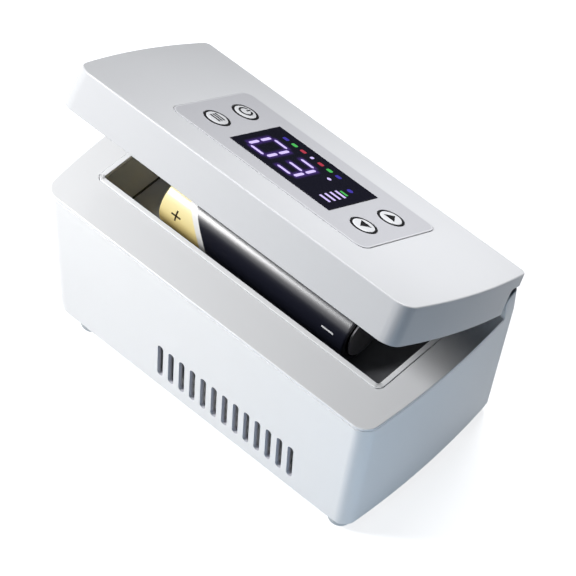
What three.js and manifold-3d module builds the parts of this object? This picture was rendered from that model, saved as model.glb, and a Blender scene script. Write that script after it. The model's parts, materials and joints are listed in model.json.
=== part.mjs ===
import * as THREE from 'three';
import { mergeVertices } from 'three/addons/utils/BufferGeometryUtils.js';
import Module from 'manifold-3d';

// A table-top cooling case for insulin pens, in millimetres, +Z up.
// X runs along the case, -Y is the front with its vents, +Y is the hinge side.
// The origin is the centre of the bottom cover's underside, and the feet reach below it.

const wasm = await Module();
wasm.setup();

// Case outline and walls
const endBow = 3.2;
const cornerRadius = 7.2;
const endLean = 6.9;
const deckHeight = 78.5;
const wall = 2.4;
const seam = 0.3;
const overrun = 1;
const nearness = 0.0005;

// Lid
const lidHeight = 19.5;
const lidGap = 0.8;
const lidLean = 0.75;
const lidOpenDegrees = 30.5;

// Hinge along the rear edge
const hingeSetback = 2.55;
const hingeRise = 8;
const humpDepth = 9.6;
const humpHeight = 12.8;
const humpFoot = 6.5;
const humpRound = 4.8;
const humpRearRound = 1.6;
const humpGap = 0.6;
const hingeEndMargin = 40;
const lugLength = 16;
const pinRadius = 1;
const pinGrip = 8;
const pinBlock = 2;

// Deck plate and the frame round the chamber's mouth
const deckThickness = 1.6;
const deckLipHeight = 3;
const deckLipThickness = 1.6;
const frameBand = 2.5;
const frameProud = 0.4;

// Chamber
const chamberLength = 165.5;
const chamberWidth = 51.5;
const chamberDepth = 30;
const chamberCorner = 1.2;
const trayWall = 1.5;
const trayFlange = 6;
const trayFlangeThickness = 1.2;
const cradleThickness = 4;
const cradleHeight = 6;
const cradleWidth = 24;
const cradleSpacing = 70;

// Battery that lies in the chamber
const batteryRadius = 14;
const batteryLength = 112;
const batteryOffset = -4;
const batteryLift = 0.5;
const batteryShoulder = 1;
const positiveCapRadius = 5;
const positiveCapHeight = 2;
const negativePlateRadius = 11;
const negativePlateThickness = 0.8;

// Front vents
const ventCount = 13;
const ventWidth = 3;
const ventHeight = 20.8;
const ventPitch = 6.64;
const ventCentreX = 16.5;
const ventCentreZ = 19.9;

// Bottom cover, feet and screws
const coverThickness = 3;
const coverInset = 0.6;
const footRadius = 6.5;
const footHeight = 3.5;
const footTaper = 0.8;
const footRecess = 1;
const footMarginY = 7;
const footMarginLeft = 20.1;
const footMarginRight = 11.1;
const bossRadius = 4;
const bossHeight = 15;
const bossY = 26;
const bossSink = 1.6;
const screwRadius = 1.5;
const screwLength = 12;
const screwHeadRadius = 3;
const screwHeadHeight = 1.8;
const intakeCount = 6;
const intakeWidth = 3;
const intakeLength = 44;
const intakePitch = 7;

// Cooling stack under the chamber
const coldPlateLength = 60;
const coldPlateWidth = 40;
const coldPlateThickness = 7.5;
const moduleSide = 40;
const moduleThickness = 3.8;
const sinkLength = 78;
const sinkWidth = 60;
const sinkBase = 4.5;
const finCount = 15;
const finThickness = 1.4;
const fanSide = 60;
const fanDepth = 10;
const fanCorner = 4;
const fanBoreRadius = 28;
const fanTipGap = 0.8;
const fanHubRadius = 12;
const fanHubHeight = 6.4;
const fanBaseThickness = 1.6;
const fanStrutWidth = 3;
const fanStrutCount = 4;
const fanShaftRadius = 1.2;
const bladeCount = 7;
const bladeChord = 12;
const bladeThickness = 1.2;
const bladeCamber = 1.6;
const bladePitchDegrees = 32;
const fanWallGap = 1.4;

// Insulation round the chamber
const foamMarginX = 5.5;
const foamMarginY = 10.5;
const foamBelow = 7.2;

// Control board in the base, with its power socket and its sensor
const boardLength = 46;
const boardWidth = 56;
const boardThickness = 1.6;
const boardEdgeGap = 12;
const boardRise = 9;
const postRadius = 2.6;
const postMargin = 5;
const jackRadius = 4.4;
const jackBoreRadius = 3.1;
const jackBodyLength = 15;
const jackBodySide = 9;
const jackPinDepth = 9;
const sensorLength = 8;
const sensorWidth = 5;
const sensorHeight = 3;
const sensorSetback = 12;

// Catches that hold the lid shut
const catchEndMargin = 40;
const catchSetback = 8.5;
const magnetRadius = 3.2;
const magnetHeight = 3;
const strikeLength = 12;
const strikeWidth = 6;
const strikeThickness = 1.5;

// Panel, display and buttons on the lid
const panelLength = 113.4;
const panelWidth = 58.8;
const panelShiftY = 0.9;
const panelCorner = 5;
const panelRecess = 0.9;
const panelProud = 0.3;
const windowLength = 58.2;
const windowWidth = 38.4;
const windowShiftY = 1.1;
const windowProud = 0.2;
const windowLedge = 2.5;
const buttonRadius = 6.3;
const buttonX = 43.2;
const buttonNearY = -10;
const buttonFarY = 11.6;
const buttonProud = 0.5;
const buttonTravel = 0.6;
const buttonFlange = 1.6;
const buttonFlangeThickness = 1.2;
const buttonStemRadius = 1.6;
const buttonStemLength = 2;

// Inside the lid
const lidBoardEndMargin = 30;
const lidBoardSideMargin = 18.5;
const switchSide = 6;
const switchBody = 1;
const switchPlungerRadius = 1.7;
const switchPlunger = 0.4;
const lidPostInset = 6;
const linerThickness = 2.3;
const linerRecess = 1;
const lidFoamMarginX = 9;
const lidFoamMarginFront = 14;
const lidFoamMarginRear = 3;
const gasketBand = 4;
const gasketMargin = 1.2;
const gasketGap = 0.35;
const gasketSideGap = 3.45;
const gasketEndGap = 7.15;

// Counts of steps on round forms
const arcSteps = 6;
const roundSteps = 24;
const smallSteps = 12;

// The case goes round the chamber's mouth, its frame and the gasket, and across it round the hump too
const sealBand = frameBand + gasketMargin + gasketBand;
const caseLength = chamberLength + 2 * (sealBand + gasketEndGap + wall);
const caseWidth = chamberWidth + 2 * (sealBand + gasketSideGap + wall + humpGap + humpDepth);

// Heights and places that follow from the sizes above
const halfLength = caseLength / 2;
const halfWidth = caseWidth / 2;
const hingeY = halfWidth - hingeSetback;
const hingeZ = deckHeight + hingeRise;
const humpFront = halfWidth - humpDepth;
const humpTop = deckHeight + humpHeight;
const deckUnder = deckHeight - deckThickness;
const shellBottom = coverThickness + seam;
const shellTop = deckUnder - seam;
const flangeTop = deckUnder - seam;
const trayFloor = deckHeight - chamberDepth;
const trayUnder = trayFloor - trayWall;
const foamTop = flangeTop - trayFlangeThickness - seam;
const coldPlateTop = trayUnder - seam;
const coldPlateUnder = coldPlateTop - coldPlateThickness;
const moduleTop = coldPlateUnder - seam;
const moduleUnder = moduleTop - moduleThickness;
const sinkTop = moduleUnder - seam;
const fanUnder = coverThickness + seam;
const fanTop = fanUnder + fanDepth;
const finUnder = fanTop + seam;
const batteryAxisZ = trayFloor + batteryLift + batteryRadius;
const batteryLeft = batteryOffset - batteryLength / 2;
const batteryRight = batteryOffset + batteryLength / 2;
const lidBottom = deckHeight + lidGap;
const lidTop = lidBottom + lidHeight;
const lidCeiling = lidTop - wall;
const recessFloor = lidTop - panelRecess;
const panelTop = lidTop + panelProud;
const windowTop = panelTop + windowProud;
const buttonTop = panelTop + buttonProud;
const flangeUnder = lidCeiling - seam - buttonFlangeThickness;
const stemEnd = flangeUnder - buttonStemLength;
const switchTop = stemEnd - buttonTravel - seam / 2;
const lidBoardTop = switchTop - switchPlunger - switchBody - seam;
const lidBoardUnder = lidBoardTop - boardThickness;
const linerUnder = lidBottom + linerRecess;
const linerTop = linerUnder + linerThickness;
const lidFoamTop = lidBoardUnder - seam;
const bowRadius = (halfWidth ** 2 + endBow ** 2) / (2 * endBow);
const endAt = (y) => halfLength - bowRadius + Math.sqrt(bowRadius ** 2 - y ** 2);
const leanAt = (z) => 1 - (1 - z / deckHeight) * endLean / halfLength;
const boardUnder = coverThickness + boardRise;
const boardTop = boardUnder + boardThickness;
const boardLeft = -halfLength * leanAt(0) + wall + boardEdgeGap;
const boardRight = boardLeft + boardLength;
const jackZ = boardTop + seam + jackBodySide / 2;
const sensorX = ventCentreX - coldPlateLength / 2 - sensorSetback;
const screwTop = shellBottom + screwLength - seam;
const bossX = endAt(bossY) * leanAt(0) - wall - bossRadius + bossSink;
const footY = halfWidth - footMarginY;
const footX = {
  left: -halfLength * leanAt(0) + footMarginLeft,
  right: halfLength * leanAt(0) - footMarginRight,
};
const hingeX = halfLength - hingeEndMargin;
const humpHollowReach = hingeX - lugLength / 2 - pinGrip - pinBlock;
const catchX = halfLength - catchEndMargin;
const catchY = -halfWidth + catchSetback;
const lidBoardLength = caseLength - 2 * lidBoardEndMargin;
const lidBoardWidth = caseWidth - 2 * lidBoardSideMargin;
const lidPostX = lidBoardLength / 2 - lidPostInset;
const lidPostY = [-lidBoardWidth / 2 + postMargin, lidBoardWidth / 2 - postMargin];

// The case's two sides and two rows, and the four buttons, by name
const sides = [['left', -1], ['right', 1]];
const rows = [['front', -1], ['rear', 1]];
const buttonPlaces = [
  ['left_near', -buttonX, buttonNearY],
  ['left_far', -buttonX, buttonFarY],
  ['right_near', buttonX, buttonNearY],
  ['right_far', buttonX, buttonFarY],
];

// Turns a closed geometry into a solid that can be cut and joined
function solid(geometry) {
  geometry.deleteAttribute('normal');
  geometry.deleteAttribute('uv');
  const merged = mergeVertices(geometry, nearness);
  return new wasm.Manifold(new wasm.Mesh({
    numProp: 3,
    vertProperties: new Float32Array(merged.attributes.position.array),
    triVerts: new Uint32Array(merged.index.array),
  }));
}

const join = (first, ...others) => others.reduce((all, one) => all.add(one), first);
const cut = (body, ...tools) => tools.reduce((left, tool) => left.subtract(tool), body);

// Points of an arc, for an outline
function arc(x, y, radius, from, to) {
  return new THREE.EllipseCurve(x, y, radius, radius, from, to, to < from).getPoints(arcSteps);
}

// An outline through the points, without the doubles where two stretches meet
function outline(points) {
  const apart = (point, i) => point.distanceTo(points.at(i - 1)) > nearness;
  return new THREE.Shape(points.filter(apart));
}

function roundedRectangle(length, width, radius) {
  const x = length / 2 - radius;
  const y = width / 2 - radius;
  return outline([
    ...arc(x, -y, radius, -Math.PI / 2, 0),
    ...arc(x, y, radius, 0, Math.PI / 2),
    ...arc(-x, y, radius, Math.PI / 2, Math.PI),
    ...arc(-x, -y, radius, Math.PI, 1.5 * Math.PI),
  ]);
}

// The case's plan: straight long sides, bowed short ends and round corners
function caseOutline(inset) {
  const sideY = halfWidth - inset;
  const radius = Math.max(cornerRadius - inset, wall / 2);
  const bow = bowRadius - inset;
  const bowCentre = halfLength - bowRadius;
  const y = sideY - radius;
  const x = bowCentre + Math.sqrt((bow - radius) ** 2 - y ** 2);
  const meet = Math.atan2(y, x - bowCentre);
  return outline([
    ...arc(x, -y, radius, -Math.PI / 2, -meet),
    ...arc(bowCentre, 0, bow, -meet, meet),
    ...arc(x, y, radius, meet, Math.PI / 2),
    ...arc(-x, y, radius, Math.PI / 2, Math.PI - meet),
    ...arc(-bowCentre, 0, bow, Math.PI - meet, Math.PI + meet),
    ...arc(-x, -y, radius, Math.PI + meet, 1.5 * Math.PI),
  ]);
}

// An outline raised from one height to another
function prismGeometry(shape, low, high) {
  const geometry = new THREE.ExtrudeGeometry(shape, { depth: high - low, bevelEnabled: false });
  return geometry.translate(0, 0, low);
}

const prism = (shape, low, high) => solid(prismGeometry(shape, low, high));

// A wall outline that leans in: a point at one height stays, one at the other moves in
function leaning(shape, low, high, wideZ, narrowZ, leanX, leanY) {
  const geometry = prismGeometry(shape, low, high);
  const place = geometry.attributes.position;
  for (let i = 0; i < place.count; i += 1) {
    const share = (place.getZ(i) - wideZ) / (narrowZ - wideZ);
    place.setX(i, place.getX(i) * (1 - share * leanX / halfLength));
    place.setY(i, place.getY(i) * (1 - share * leanY / halfWidth));
  }
  return solid(geometry);
}

const baseForm = (inset, low, high) => leaning(caseOutline(inset), low, high, deckHeight, 0, endLean, 0);
const lidForm = (inset, low, high) => leaning(
  caseOutline(inset), low, high, lidBottom, lidTop, lidLean, lidLean);

// An outline drawn in X and Z, run along Y
function alongY(shape, fromY, toY) {
  const geometry = new THREE.ExtrudeGeometry(shape, { depth: toY - fromY, bevelEnabled: false });
  return solid(geometry.rotateX(Math.PI / 2).translate(0, toY, 0));
}

// An outline drawn in Y and Z, run along X
function alongX(shape, fromX, toX) {
  const geometry = new THREE.ExtrudeGeometry(shape, { depth: toX - fromX, bevelEnabled: false });
  const turn = new THREE.Matrix4().set(0, 0, 1, fromX, 1, 0, 0, 0, 0, 1, 0, 0, 0, 0, 0, 1);
  return solid(geometry.applyMatrix4(turn));
}

function block(fromX, toX, fromY, toY, low, high) {
  const geometry = new THREE.BoxGeometry(toX - fromX, toY - fromY, high - low);
  return solid(geometry.translate((fromX + toX) / 2, (fromY + toY) / 2, (low + high) / 2));
}

// A block centred on the X axis's and the Y axis's place
function slab(length, width, low, high, x = 0, y = 0) {
  return block(x - length / 2, x + length / 2, y - width / 2, y + width / 2, low, high);
}

function disc(radius, low, high, x = 0, y = 0, steps = smallSteps, topRadius = radius) {
  const geometry = new THREE.CylinderGeometry(topRadius, radius, high - low, steps);
  return solid(geometry.rotateX(Math.PI / 2).translate(x, y, (low + high) / 2));
}

function rod(radius, fromX, toX, y, z, steps = smallSteps) {
  const geometry = new THREE.CylinderGeometry(radius, radius, toX - fromX, steps);
  return solid(geometry.rotateZ(Math.PI / 2).translate((fromX + toX) / 2, y, z));
}

// A slot with round ends, upright in X and Z
function slotOutline(width, height, x, z) {
  const radius = width / 2;
  const reach = height / 2 - radius;
  return outline([
    ...arc(x, z + reach, radius, 0, Math.PI),
    ...arc(x, z - reach, radius, Math.PI, 2 * Math.PI),
  ]);
}

// The room that the hinge hump takes in the lid, in Y and Z, open to the rear
function humpRoom(low, grow) {
  const front = humpFront - grow;
  const top = humpTop + grow;
  const round = humpRound + grow;
  const rear = halfWidth + overrun;
  return outline([
    new THREE.Vector2(front, low),
    new THREE.Vector2(rear, low),
    new THREE.Vector2(rear, top),
    ...arc(front + round, top - round, round, Math.PI / 2, Math.PI),
  ]);
}

const materials = {
  whiteShell: { color: 0xe9ebee, roughness: 0.35, metalness: 0 },
  paleDeck: { color: 0xdfe1e4, roughness: 0.25, metalness: 0 },
  whiteTrim: { color: 0xf4f5f6, roughness: 0.3, metalness: 0 },
  silverPanel: { color: 0xcfd1d8, roughness: 0.4, metalness: 0.2 },
  darkTray: { color: 0x4a4b4c, roughness: 0.5, metalness: 0 },
  darkLiner: { color: 0x2a2d32, roughness: 0.45, metalness: 0 },
  blackGlass: { color: 0x07070c, roughness: 0.08, metalness: 0 },
  blackJacket: { color: 0x14141c, roughness: 0.25, metalness: 0 },
  bareMetal: { color: 0xc4c7cb, roughness: 0.3, metalness: 1 },
  darkRubber: { color: 0x3a3c40, roughness: 0.8, metalness: 0 },
  paleRubber: { color: 0xd5d8db, roughness: 0.7, metalness: 0 },
  whiteFoam: { color: 0xf1efe8, roughness: 0.9, metalness: 0 },
  greenBoard: { color: 0x1d5b3a, roughness: 0.5, metalness: 0 },
  blackPlastic: { color: 0x17181b, roughness: 0.5, metalness: 0 },
  ceramic: { color: 0xeeeae0, roughness: 0.6, metalness: 0 },
};

const model = new THREE.Group();

// The lid's group turns about the hinge, and its pieces are placed as if it were shut
const lidTurn = new THREE.Group();
lidTurn.position.set(0, hingeY, hingeZ);
lidTurn.rotation.x = -THREE.MathUtils.degToRad(lidOpenDegrees);
const lid = new THREE.Group();
lid.position.set(0, -hingeY, -hingeZ);
lidTurn.add(lid);
model.add(lidTurn);

function add(group, name, body, finish) {
  const mesh = body.getMesh();
  const geometry = new THREE.BufferGeometry();
  geometry.setAttribute('position', new THREE.BufferAttribute(mesh.vertProperties, 3));
  geometry.setIndex(new THREE.BufferAttribute(mesh.triVerts, 1));
  geometry.computeVertexNormals();
  const piece = new THREE.Mesh(geometry, new THREE.MeshStandardMaterial(materials[finish]));
  piece.name = name;
  group.add(piece);
}

// The base shell's side view in Y and Z: level walls, and the hump that carries the hinge
function baseSide() {
  return outline([
    new THREE.Vector2(-halfWidth - overrun, shellBottom),
    new THREE.Vector2(halfWidth, shellBottom),
    ...arc(halfWidth - humpRearRound, humpTop - humpRearRound, humpRearRound, 0, Math.PI / 2),
    ...arc(humpFront + humpRound, humpTop - humpRound, humpRound, Math.PI / 2, Math.PI),
    new THREE.Vector2(humpFront, shellTop),
    new THREE.Vector2(-halfWidth - overrun, shellTop),
  ]);
}

// Outer shell of the base: walls, vents, screw bosses and the hinge hump
function baseShell() {
  const humpLow = deckHeight - humpFoot;
  const plan = join(
    baseForm(0, shellBottom - overrun, deckHeight),
    prism(caseOutline(0), deckHeight, humpTop + overrun));
  const room = cut(
    baseForm(wall, shellBottom - 2 * overrun, shellTop + overrun),
    block(-halfLength, halfLength, humpFront, halfWidth, humpLow, humpTop));
  const humpHollow = block(-humpHollowReach, humpHollowReach, humpFront + wall, halfWidth - wall,
    humpLow - overrun, humpTop - wall);
  const form = plan.intersect(alongX(baseSide(), -halfLength - overrun, halfLength + overrun));
  let shell = cut(form, room, humpHollow);
  for (const [, sx] of sides) {
    for (const [, sy] of rows) {
      const boss = disc(bossRadius, shellBottom, shellBottom + bossHeight, sx * bossX, sy * bossY);
      shell = join(shell, boss.intersect(plan));
    }
  }
  for (const [, side] of sides) {
    const gap = lugLength / 2 + seam;
    const x = side * hingeX;
    const swing = hingeSetback + humpGap;
    shell = cut(shell,
      block(x - gap, x + gap, hingeY - swing, halfWidth + overrun, hingeZ - swing, humpTop + overrun),
      rod(pinRadius + seam, x - gap - pinGrip, x + gap + pinGrip, hingeY, hingeZ));
  }
  for (let i = 0; i < ventCount; i += 1) {
    const x = ventCentreX + (i - (ventCount - 1) / 2) * ventPitch;
    const vent = slotOutline(ventWidth, ventHeight, x, ventCentreZ);
    shell = cut(shell, alongY(vent, -halfWidth - overrun, -halfWidth + wall + overrun));
  }
  const screwBore = screwRadius + seam;
  for (const [, sx] of sides) {
    for (const [, sy] of rows) {
      shell = cut(shell, disc(screwBore, shellBottom - overrun, screwTop + seam, sx * bossX, sy * bossY));
    }
  }
  return cut(shell, rod(jackRadius + seam, -halfLength - overrun, boardLeft - boardEdgeGap / 2, 0, jackZ));
}

// Bottom cover: a lip that shows under the walls, foot recesses, screw holes, intake slots, board posts
function bottomCover() {
  let cover = baseForm(coverInset, 0, coverThickness);
  for (const [x, y] of boardPosts()) {
    cover = join(cover, disc(postRadius, coverThickness / 2, boardUnder - seam, x, y));
  }
  for (const [side, sx] of sides) {
    for (const [, sy] of rows) {
      const x = sx * bossX;
      const y = sy * bossY;
      cover = cut(cover,
        disc(footRadius + seam, -overrun, footRecess, footX[side], sy * footY, roundSteps),
        disc(screwRadius + seam, -overrun, coverThickness + overrun, x, y),
        disc(screwHeadRadius + seam, -overrun, screwHeadHeight, x, y));
    }
  }
  for (let i = 0; i < intakeCount; i += 1) {
    const y = (i - (intakeCount - 1) / 2) * intakePitch;
    cover = cut(cover, slab(intakeLength, intakeWidth, -overrun, coverThickness + overrun, ventCentreX, y));
  }
  return cover;
}

// Deck plate round the chamber, stopping at the hump, with a lip inside the walls
function deckPlate() {
  const lipOuter = wall + seam;
  const lipInner = lipOuter + deckLipThickness;
  const plate = baseForm(0, deckUnder, deckHeight);
  const lip = cut(
    baseForm(lipOuter, deckUnder - deckLipHeight, deckUnder + deckThickness / 2),
    baseForm(lipInner, deckUnder - deckLipHeight - overrun, deckHeight));
  const mouth = prism(frameOutline(frameBand + seam), deckUnder - overrun, deckHeight + overrun);
  const rear = block(-halfLength - overrun, halfLength + overrun, humpFront - seam, halfWidth + overrun,
    deckUnder - deckLipHeight - overrun, deckHeight + overrun);
  return cut(join(plate, lip), mouth, rear);
}

function frameOutline(grow) {
  return roundedRectangle(chamberLength + 2 * grow, chamberWidth + 2 * grow, chamberCorner + grow);
}

function wellFrame() {
  const low = flangeTop + seam;
  const high = deckHeight + frameProud;
  const mouth = prism(frameOutline(0), low - overrun, high + overrun);
  return cut(prism(frameOutline(frameBand), low, high), mouth);
}

// Chamber tray with a flange under the deck and two cradles for the battery
function chamberTray() {
  const bowl = cut(
    prism(frameOutline(trayWall), trayUnder, flangeTop),
    prism(frameOutline(0), trayFloor, flangeTop + overrun));
  const flange = cut(
    prism(frameOutline(trayFlange), flangeTop - trayFlangeThickness, flangeTop),
    prism(frameOutline(0), trayFloor, flangeTop + overrun));
  const cradles = [-1, 1].map((side) => slab(cradleThickness, cradleWidth, trayFloor - trayWall / 2,
    trayFloor + cradleHeight, batteryOffset + side * cradleSpacing / 2));
  const bed = rod(batteryRadius + seam, -halfLength, halfLength, 0, batteryAxisZ, roundSteps);
  return join(bowl, flange, ...cradles.map((cradle) => cut(cradle, bed)));
}

function chamberInsulation() {
  const length = chamberLength + 2 * (trayWall + foamMarginX);
  const width = chamberWidth + 2 * (trayWall + foamMarginY);
  const under = trayUnder - foamBelow;
  return cut(slab(length, width, under, foamTop),
    prism(frameOutline(trayWall + seam), trayUnder - seam, foamTop + overrun),
    slab(coldPlateLength + 2 * seam, coldPlateWidth + 2 * seam, under - overrun, trayUnder, ventCentreX),
    slab(sensorLength + 2 * seam, sensorWidth + 2 * seam, under - overrun, trayUnder, sensorX));
}

// Heat sink with its fins running from the fan towards the front vents
function heatSink() {
  const fins = [];
  const pitch = (sinkLength - finThickness) / (finCount - 1);
  for (let i = 0; i < finCount; i += 1) {
    const x = ventCentreX + (i - (finCount - 1) / 2) * pitch;
    fins.push(slab(finThickness, sinkWidth, finUnder, sinkTop - sinkBase / 2, x));
  }
  return join(slab(sinkLength, sinkWidth, sinkTop - sinkBase, sinkTop, ventCentreX), ...fins);
}

// Fan frame: square ring, struts and the motor's base with its bearing
function fanFrame() {
  const ring = cut(
    prism(roundedRectangle(fanSide, fanSide, fanCorner), fanUnder, fanTop),
    disc(fanBoreRadius, fanUnder - overrun, fanTop + overrun, 0, 0, roundSteps));
  const baseTop = fanUnder + fanBaseThickness;
  const span = 2 * fanBoreRadius + fanStrutWidth;
  const struts = [];
  for (let i = 0; i < fanStrutCount / 2; i += 1) {
    const geometry = new THREE.BoxGeometry(span, fanStrutWidth, fanBaseThickness);
    const turn = Math.PI * (i + 0.5) / (fanStrutCount / 2);
    struts.push(solid(geometry.rotateZ(turn).translate(0, 0, fanUnder + fanBaseThickness / 2)));
  }
  const motorBase = disc(fanHubRadius, fanUnder, baseTop, 0, 0, roundSteps);
  const bearing = disc(fanShaftRadius + seam, baseTop - fanBaseThickness / 2, baseTop + overrun);
  return cut(join(ring, ...struts, motorBase), bearing).translate(ventCentreX, 0, 0);
}

// Fan rotor: hub, shaft and cambered blades set at a pitch
function fanRotor() {
  const low = fanUnder + fanBaseThickness + fanWallGap;
  const high = low + fanHubHeight;
  const tip = fanBoreRadius - fanTipGap;
  const section = new THREE.Shape();
  section.moveTo(-bladeChord / 2, 0);
  section.quadraticCurveTo(0, bladeCamber * 2, bladeChord / 2, 0);
  section.lineTo(bladeChord / 2, bladeThickness);
  section.quadraticCurveTo(0, bladeCamber * 2 + bladeThickness, -bladeChord / 2, bladeThickness);
  section.closePath();
  const blades = [];
  const run = { depth: tip, bevelEnabled: false, curveSegments: arcSteps };
  for (let i = 0; i < bladeCount; i += 1) {
    const blade = new THREE.ExtrudeGeometry(section, run);
    blade.translate(0, 0, fanHubRadius / 2);
    const lift = new THREE.Matrix4().makeTranslation(0, 0, (low + high) / 2);
    const spin = new THREE.Matrix4().makeRotationZ(2 * Math.PI * i / bladeCount);
    const pitch = new THREE.Matrix4().makeRotationX(THREE.MathUtils.degToRad(bladePitchDegrees));
    const lay = new THREE.Matrix4().makeRotationY(Math.PI / 2);
    const roll = new THREE.Matrix4().makeRotationZ(Math.PI / 2);
    blades.push(solid(blade.applyMatrix4(lift.multiply(spin).multiply(pitch).multiply(lay).multiply(roll))));
  }
  const reach = disc(tip, low, high, 0, 0, roundSteps);
  const hub = disc(fanHubRadius, low, high, 0, 0, roundSteps);
  const shaft = disc(fanShaftRadius, fanUnder + fanBaseThickness / 2 + seam, low + fanHubHeight / 2);
  return join(hub, join(...blades).intersect(reach), shaft).translate(ventCentreX, 0, 0);
}

// Places of the bottom cover's posts, under the control board's corners
function boardPosts() {
  const y = boardWidth / 2 - postMargin;
  return [boardLeft + postMargin, boardRight - postMargin].flatMap((x) => [[x, -y], [x, y]]);
}

// Power socket: a box on the board and a round mouth through the left end wall
function powerJack() {
  const outside = -endAt(0) * leanAt(jackZ);
  const inside = outside + wall + seam * 2;
  const body = block(inside, inside + jackBodyLength, -jackBodySide / 2, jackBodySide / 2,
    boardTop + seam, boardTop + seam + jackBodySide);
  const mouth = rod(jackRadius, outside + seam, inside + overrun, 0, jackZ);
  return cut(join(body, mouth), rod(jackBoreRadius, outside - overrun, outside + jackPinDepth, 0, jackZ));
}

function foot() {
  return disc(footRadius - footTaper, -footHeight, footRecess - seam, 0, 0, roundSteps, footRadius);
}

function coverScrew() {
  const head = disc(screwHeadRadius, seam, screwHeadHeight - seam);
  return join(head, disc(screwRadius, screwHeadHeight / 2, screwTop));
}

// Lid shell: leaning walls, the recess that clears the hump, panel recess, posts and hinge lugs
function lidShell() {
  const outer = lidForm(0, lidBottom, lidTop);
  const reach = halfLength + overrun;
  const recess = alongX(humpRoom(lidBottom - overrun, humpGap), -reach, reach);
  const recessSkin = alongX(humpRoom(lidBottom - 2 * overrun, humpGap + wall), -reach, reach);
  const room = cut(lidForm(wall, lidBottom - overrun, lidCeiling), recessSkin);
  let shell = cut(outer, room, recess);
  for (const [, side] of sides) {
    shell = join(shell, hingeLug(side * hingeX));
    for (const y of lidPostY) {
      shell = join(shell, disc(postRadius, lidBoardTop + seam, lidCeiling + wall / 2, side * lidPostX, y));
    }
  }
  const panelBed = roundedRectangle(panelLength + 2 * seam, panelWidth + 2 * seam, panelCorner + seam);
  const mouthLength = windowLength - 2 * windowLedge;
  const mouthWidth = windowWidth - 2 * windowLedge;
  shell = cut(shell,
    prism(panelBed, recessFloor, lidTop + overrun).translate(0, panelShiftY, 0),
    slab(mouthLength, mouthWidth, lidCeiling - overrun, lidTop, 0, windowShiftY));
  for (const [, x, y] of buttonPlaces) {
    shell = cut(shell, disc(buttonRadius + seam, lidCeiling - overrun, lidTop + overrun, x, y, roundSteps));
  }
  return shell;
}

// A lug that reaches down from the lid to the hinge pin
function hingeLug(x) {
  const radius = hingeSetback;
  const top = humpTop + humpGap + wall / 2;
  const section = outline([
    new THREE.Vector2(hingeY - radius, top),
    ...arc(hingeY, hingeZ, radius, Math.PI, 2 * Math.PI),
    new THREE.Vector2(hingeY + radius, top),
  ]);
  const bar = alongX(section, x - lugLength / 2, x + lugLength / 2);
  return cut(bar, rod(pinRadius + seam, x - lugLength, x + lugLength, hingeY, hingeZ));
}

function controlPanel() {
  const sheet = roundedRectangle(panelLength, panelWidth, panelCorner);
  let panel = prism(sheet, recessFloor + seam, panelTop).translate(0, panelShiftY, 0);
  const windowHole = slab(windowLength + 2 * seam, windowWidth + 2 * seam, recessFloor, panelTop + overrun,
    0, windowShiftY);
  panel = cut(panel, windowHole);
  for (const [, x, y] of buttonPlaces) {
    panel = cut(panel, disc(buttonRadius + seam, recessFloor, panelTop + overrun, x, y, roundSteps));
  }
  return panel;
}

function button(x, y) {
  return join(
    disc(buttonRadius, flangeUnder + buttonFlangeThickness / 2, buttonTop, x, y, roundSteps),
    disc(buttonRadius + buttonFlange, flangeUnder, flangeUnder + buttonFlangeThickness, x, y, roundSteps),
    disc(buttonStemRadius, stemEnd, flangeUnder + buttonFlangeThickness / 2, x, y));
}

function keySwitch(x, y) {
  const low = lidBoardTop + seam;
  return join(
    slab(switchSide, switchSide, low, low + switchBody, x, y),
    disc(switchPlungerRadius, low + switchBody / 2, switchTop, x, y));
}

function lidLiner() {
  const sheet = lidForm(wall + seam, linerUnder, linerTop);
  const rear = humpFront - humpGap - wall - seam;
  const behind = block(-halfLength, halfLength, rear, halfWidth, linerUnder - overrun, linerTop + overrun);
  return cut(sheet, behind);
}

function lidInsulation() {
  const rear = humpFront - humpGap - wall - lidFoamMarginRear;
  return block(-halfLength + endBow + wall + lidFoamMarginX, halfLength - endBow - wall - lidFoamMarginX,
    -halfWidth + wall + lidFoamMarginFront, rear, linerTop + seam, lidFoamTop);
}

function lidGasket() {
  const inner = frameBand + gasketMargin;
  const low = deckHeight + gasketGap;
  const high = linerUnder - seam;
  return cut(
    prism(frameOutline(inner + gasketBand), low, high),
    prism(frameOutline(inner), low - overrun, high + overrun));
}

// Battery can with a small shoulder at each end
function batteryBody() {
  const shoulder = batteryRadius - batteryShoulder;
  const profile = [
    new THREE.Vector2(0, batteryLeft),
    new THREE.Vector2(shoulder, batteryLeft),
    new THREE.Vector2(batteryRadius, batteryLeft + batteryShoulder),
    new THREE.Vector2(batteryRadius, batteryRight - batteryShoulder),
    new THREE.Vector2(shoulder, batteryRight),
    new THREE.Vector2(0, batteryRight),
  ];
  const can = new THREE.LatheGeometry(profile, roundSteps).rotateZ(-Math.PI / 2);
  return solid(can.translate(0, 0, batteryAxisZ));
}

// A round contact on one of the battery's ends
function batteryContact(radius, fromX, thickness) {
  return rod(radius, fromX, fromX + thickness, 0, batteryAxisZ, roundSteps);
}

function hingePin(x) {
  const reach = lugLength / 2 + pinGrip;
  return rod(pinRadius, x - reach, x + reach, hingeY, hingeZ);
}

function strikePlate(x) {
  return slab(strikeLength, strikeWidth, shellTop - strikeThickness, shellTop, x, catchY);
}

// The module behind the window, from the lid's board up to the glass
function displayModule() {
  const length = windowLength - 2 * (windowLedge + seam);
  const width = windowWidth - 2 * (windowLedge + seam);
  return slab(length, width, lidBoardTop + seam, recessFloor, 0, windowShiftY);
}

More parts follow.
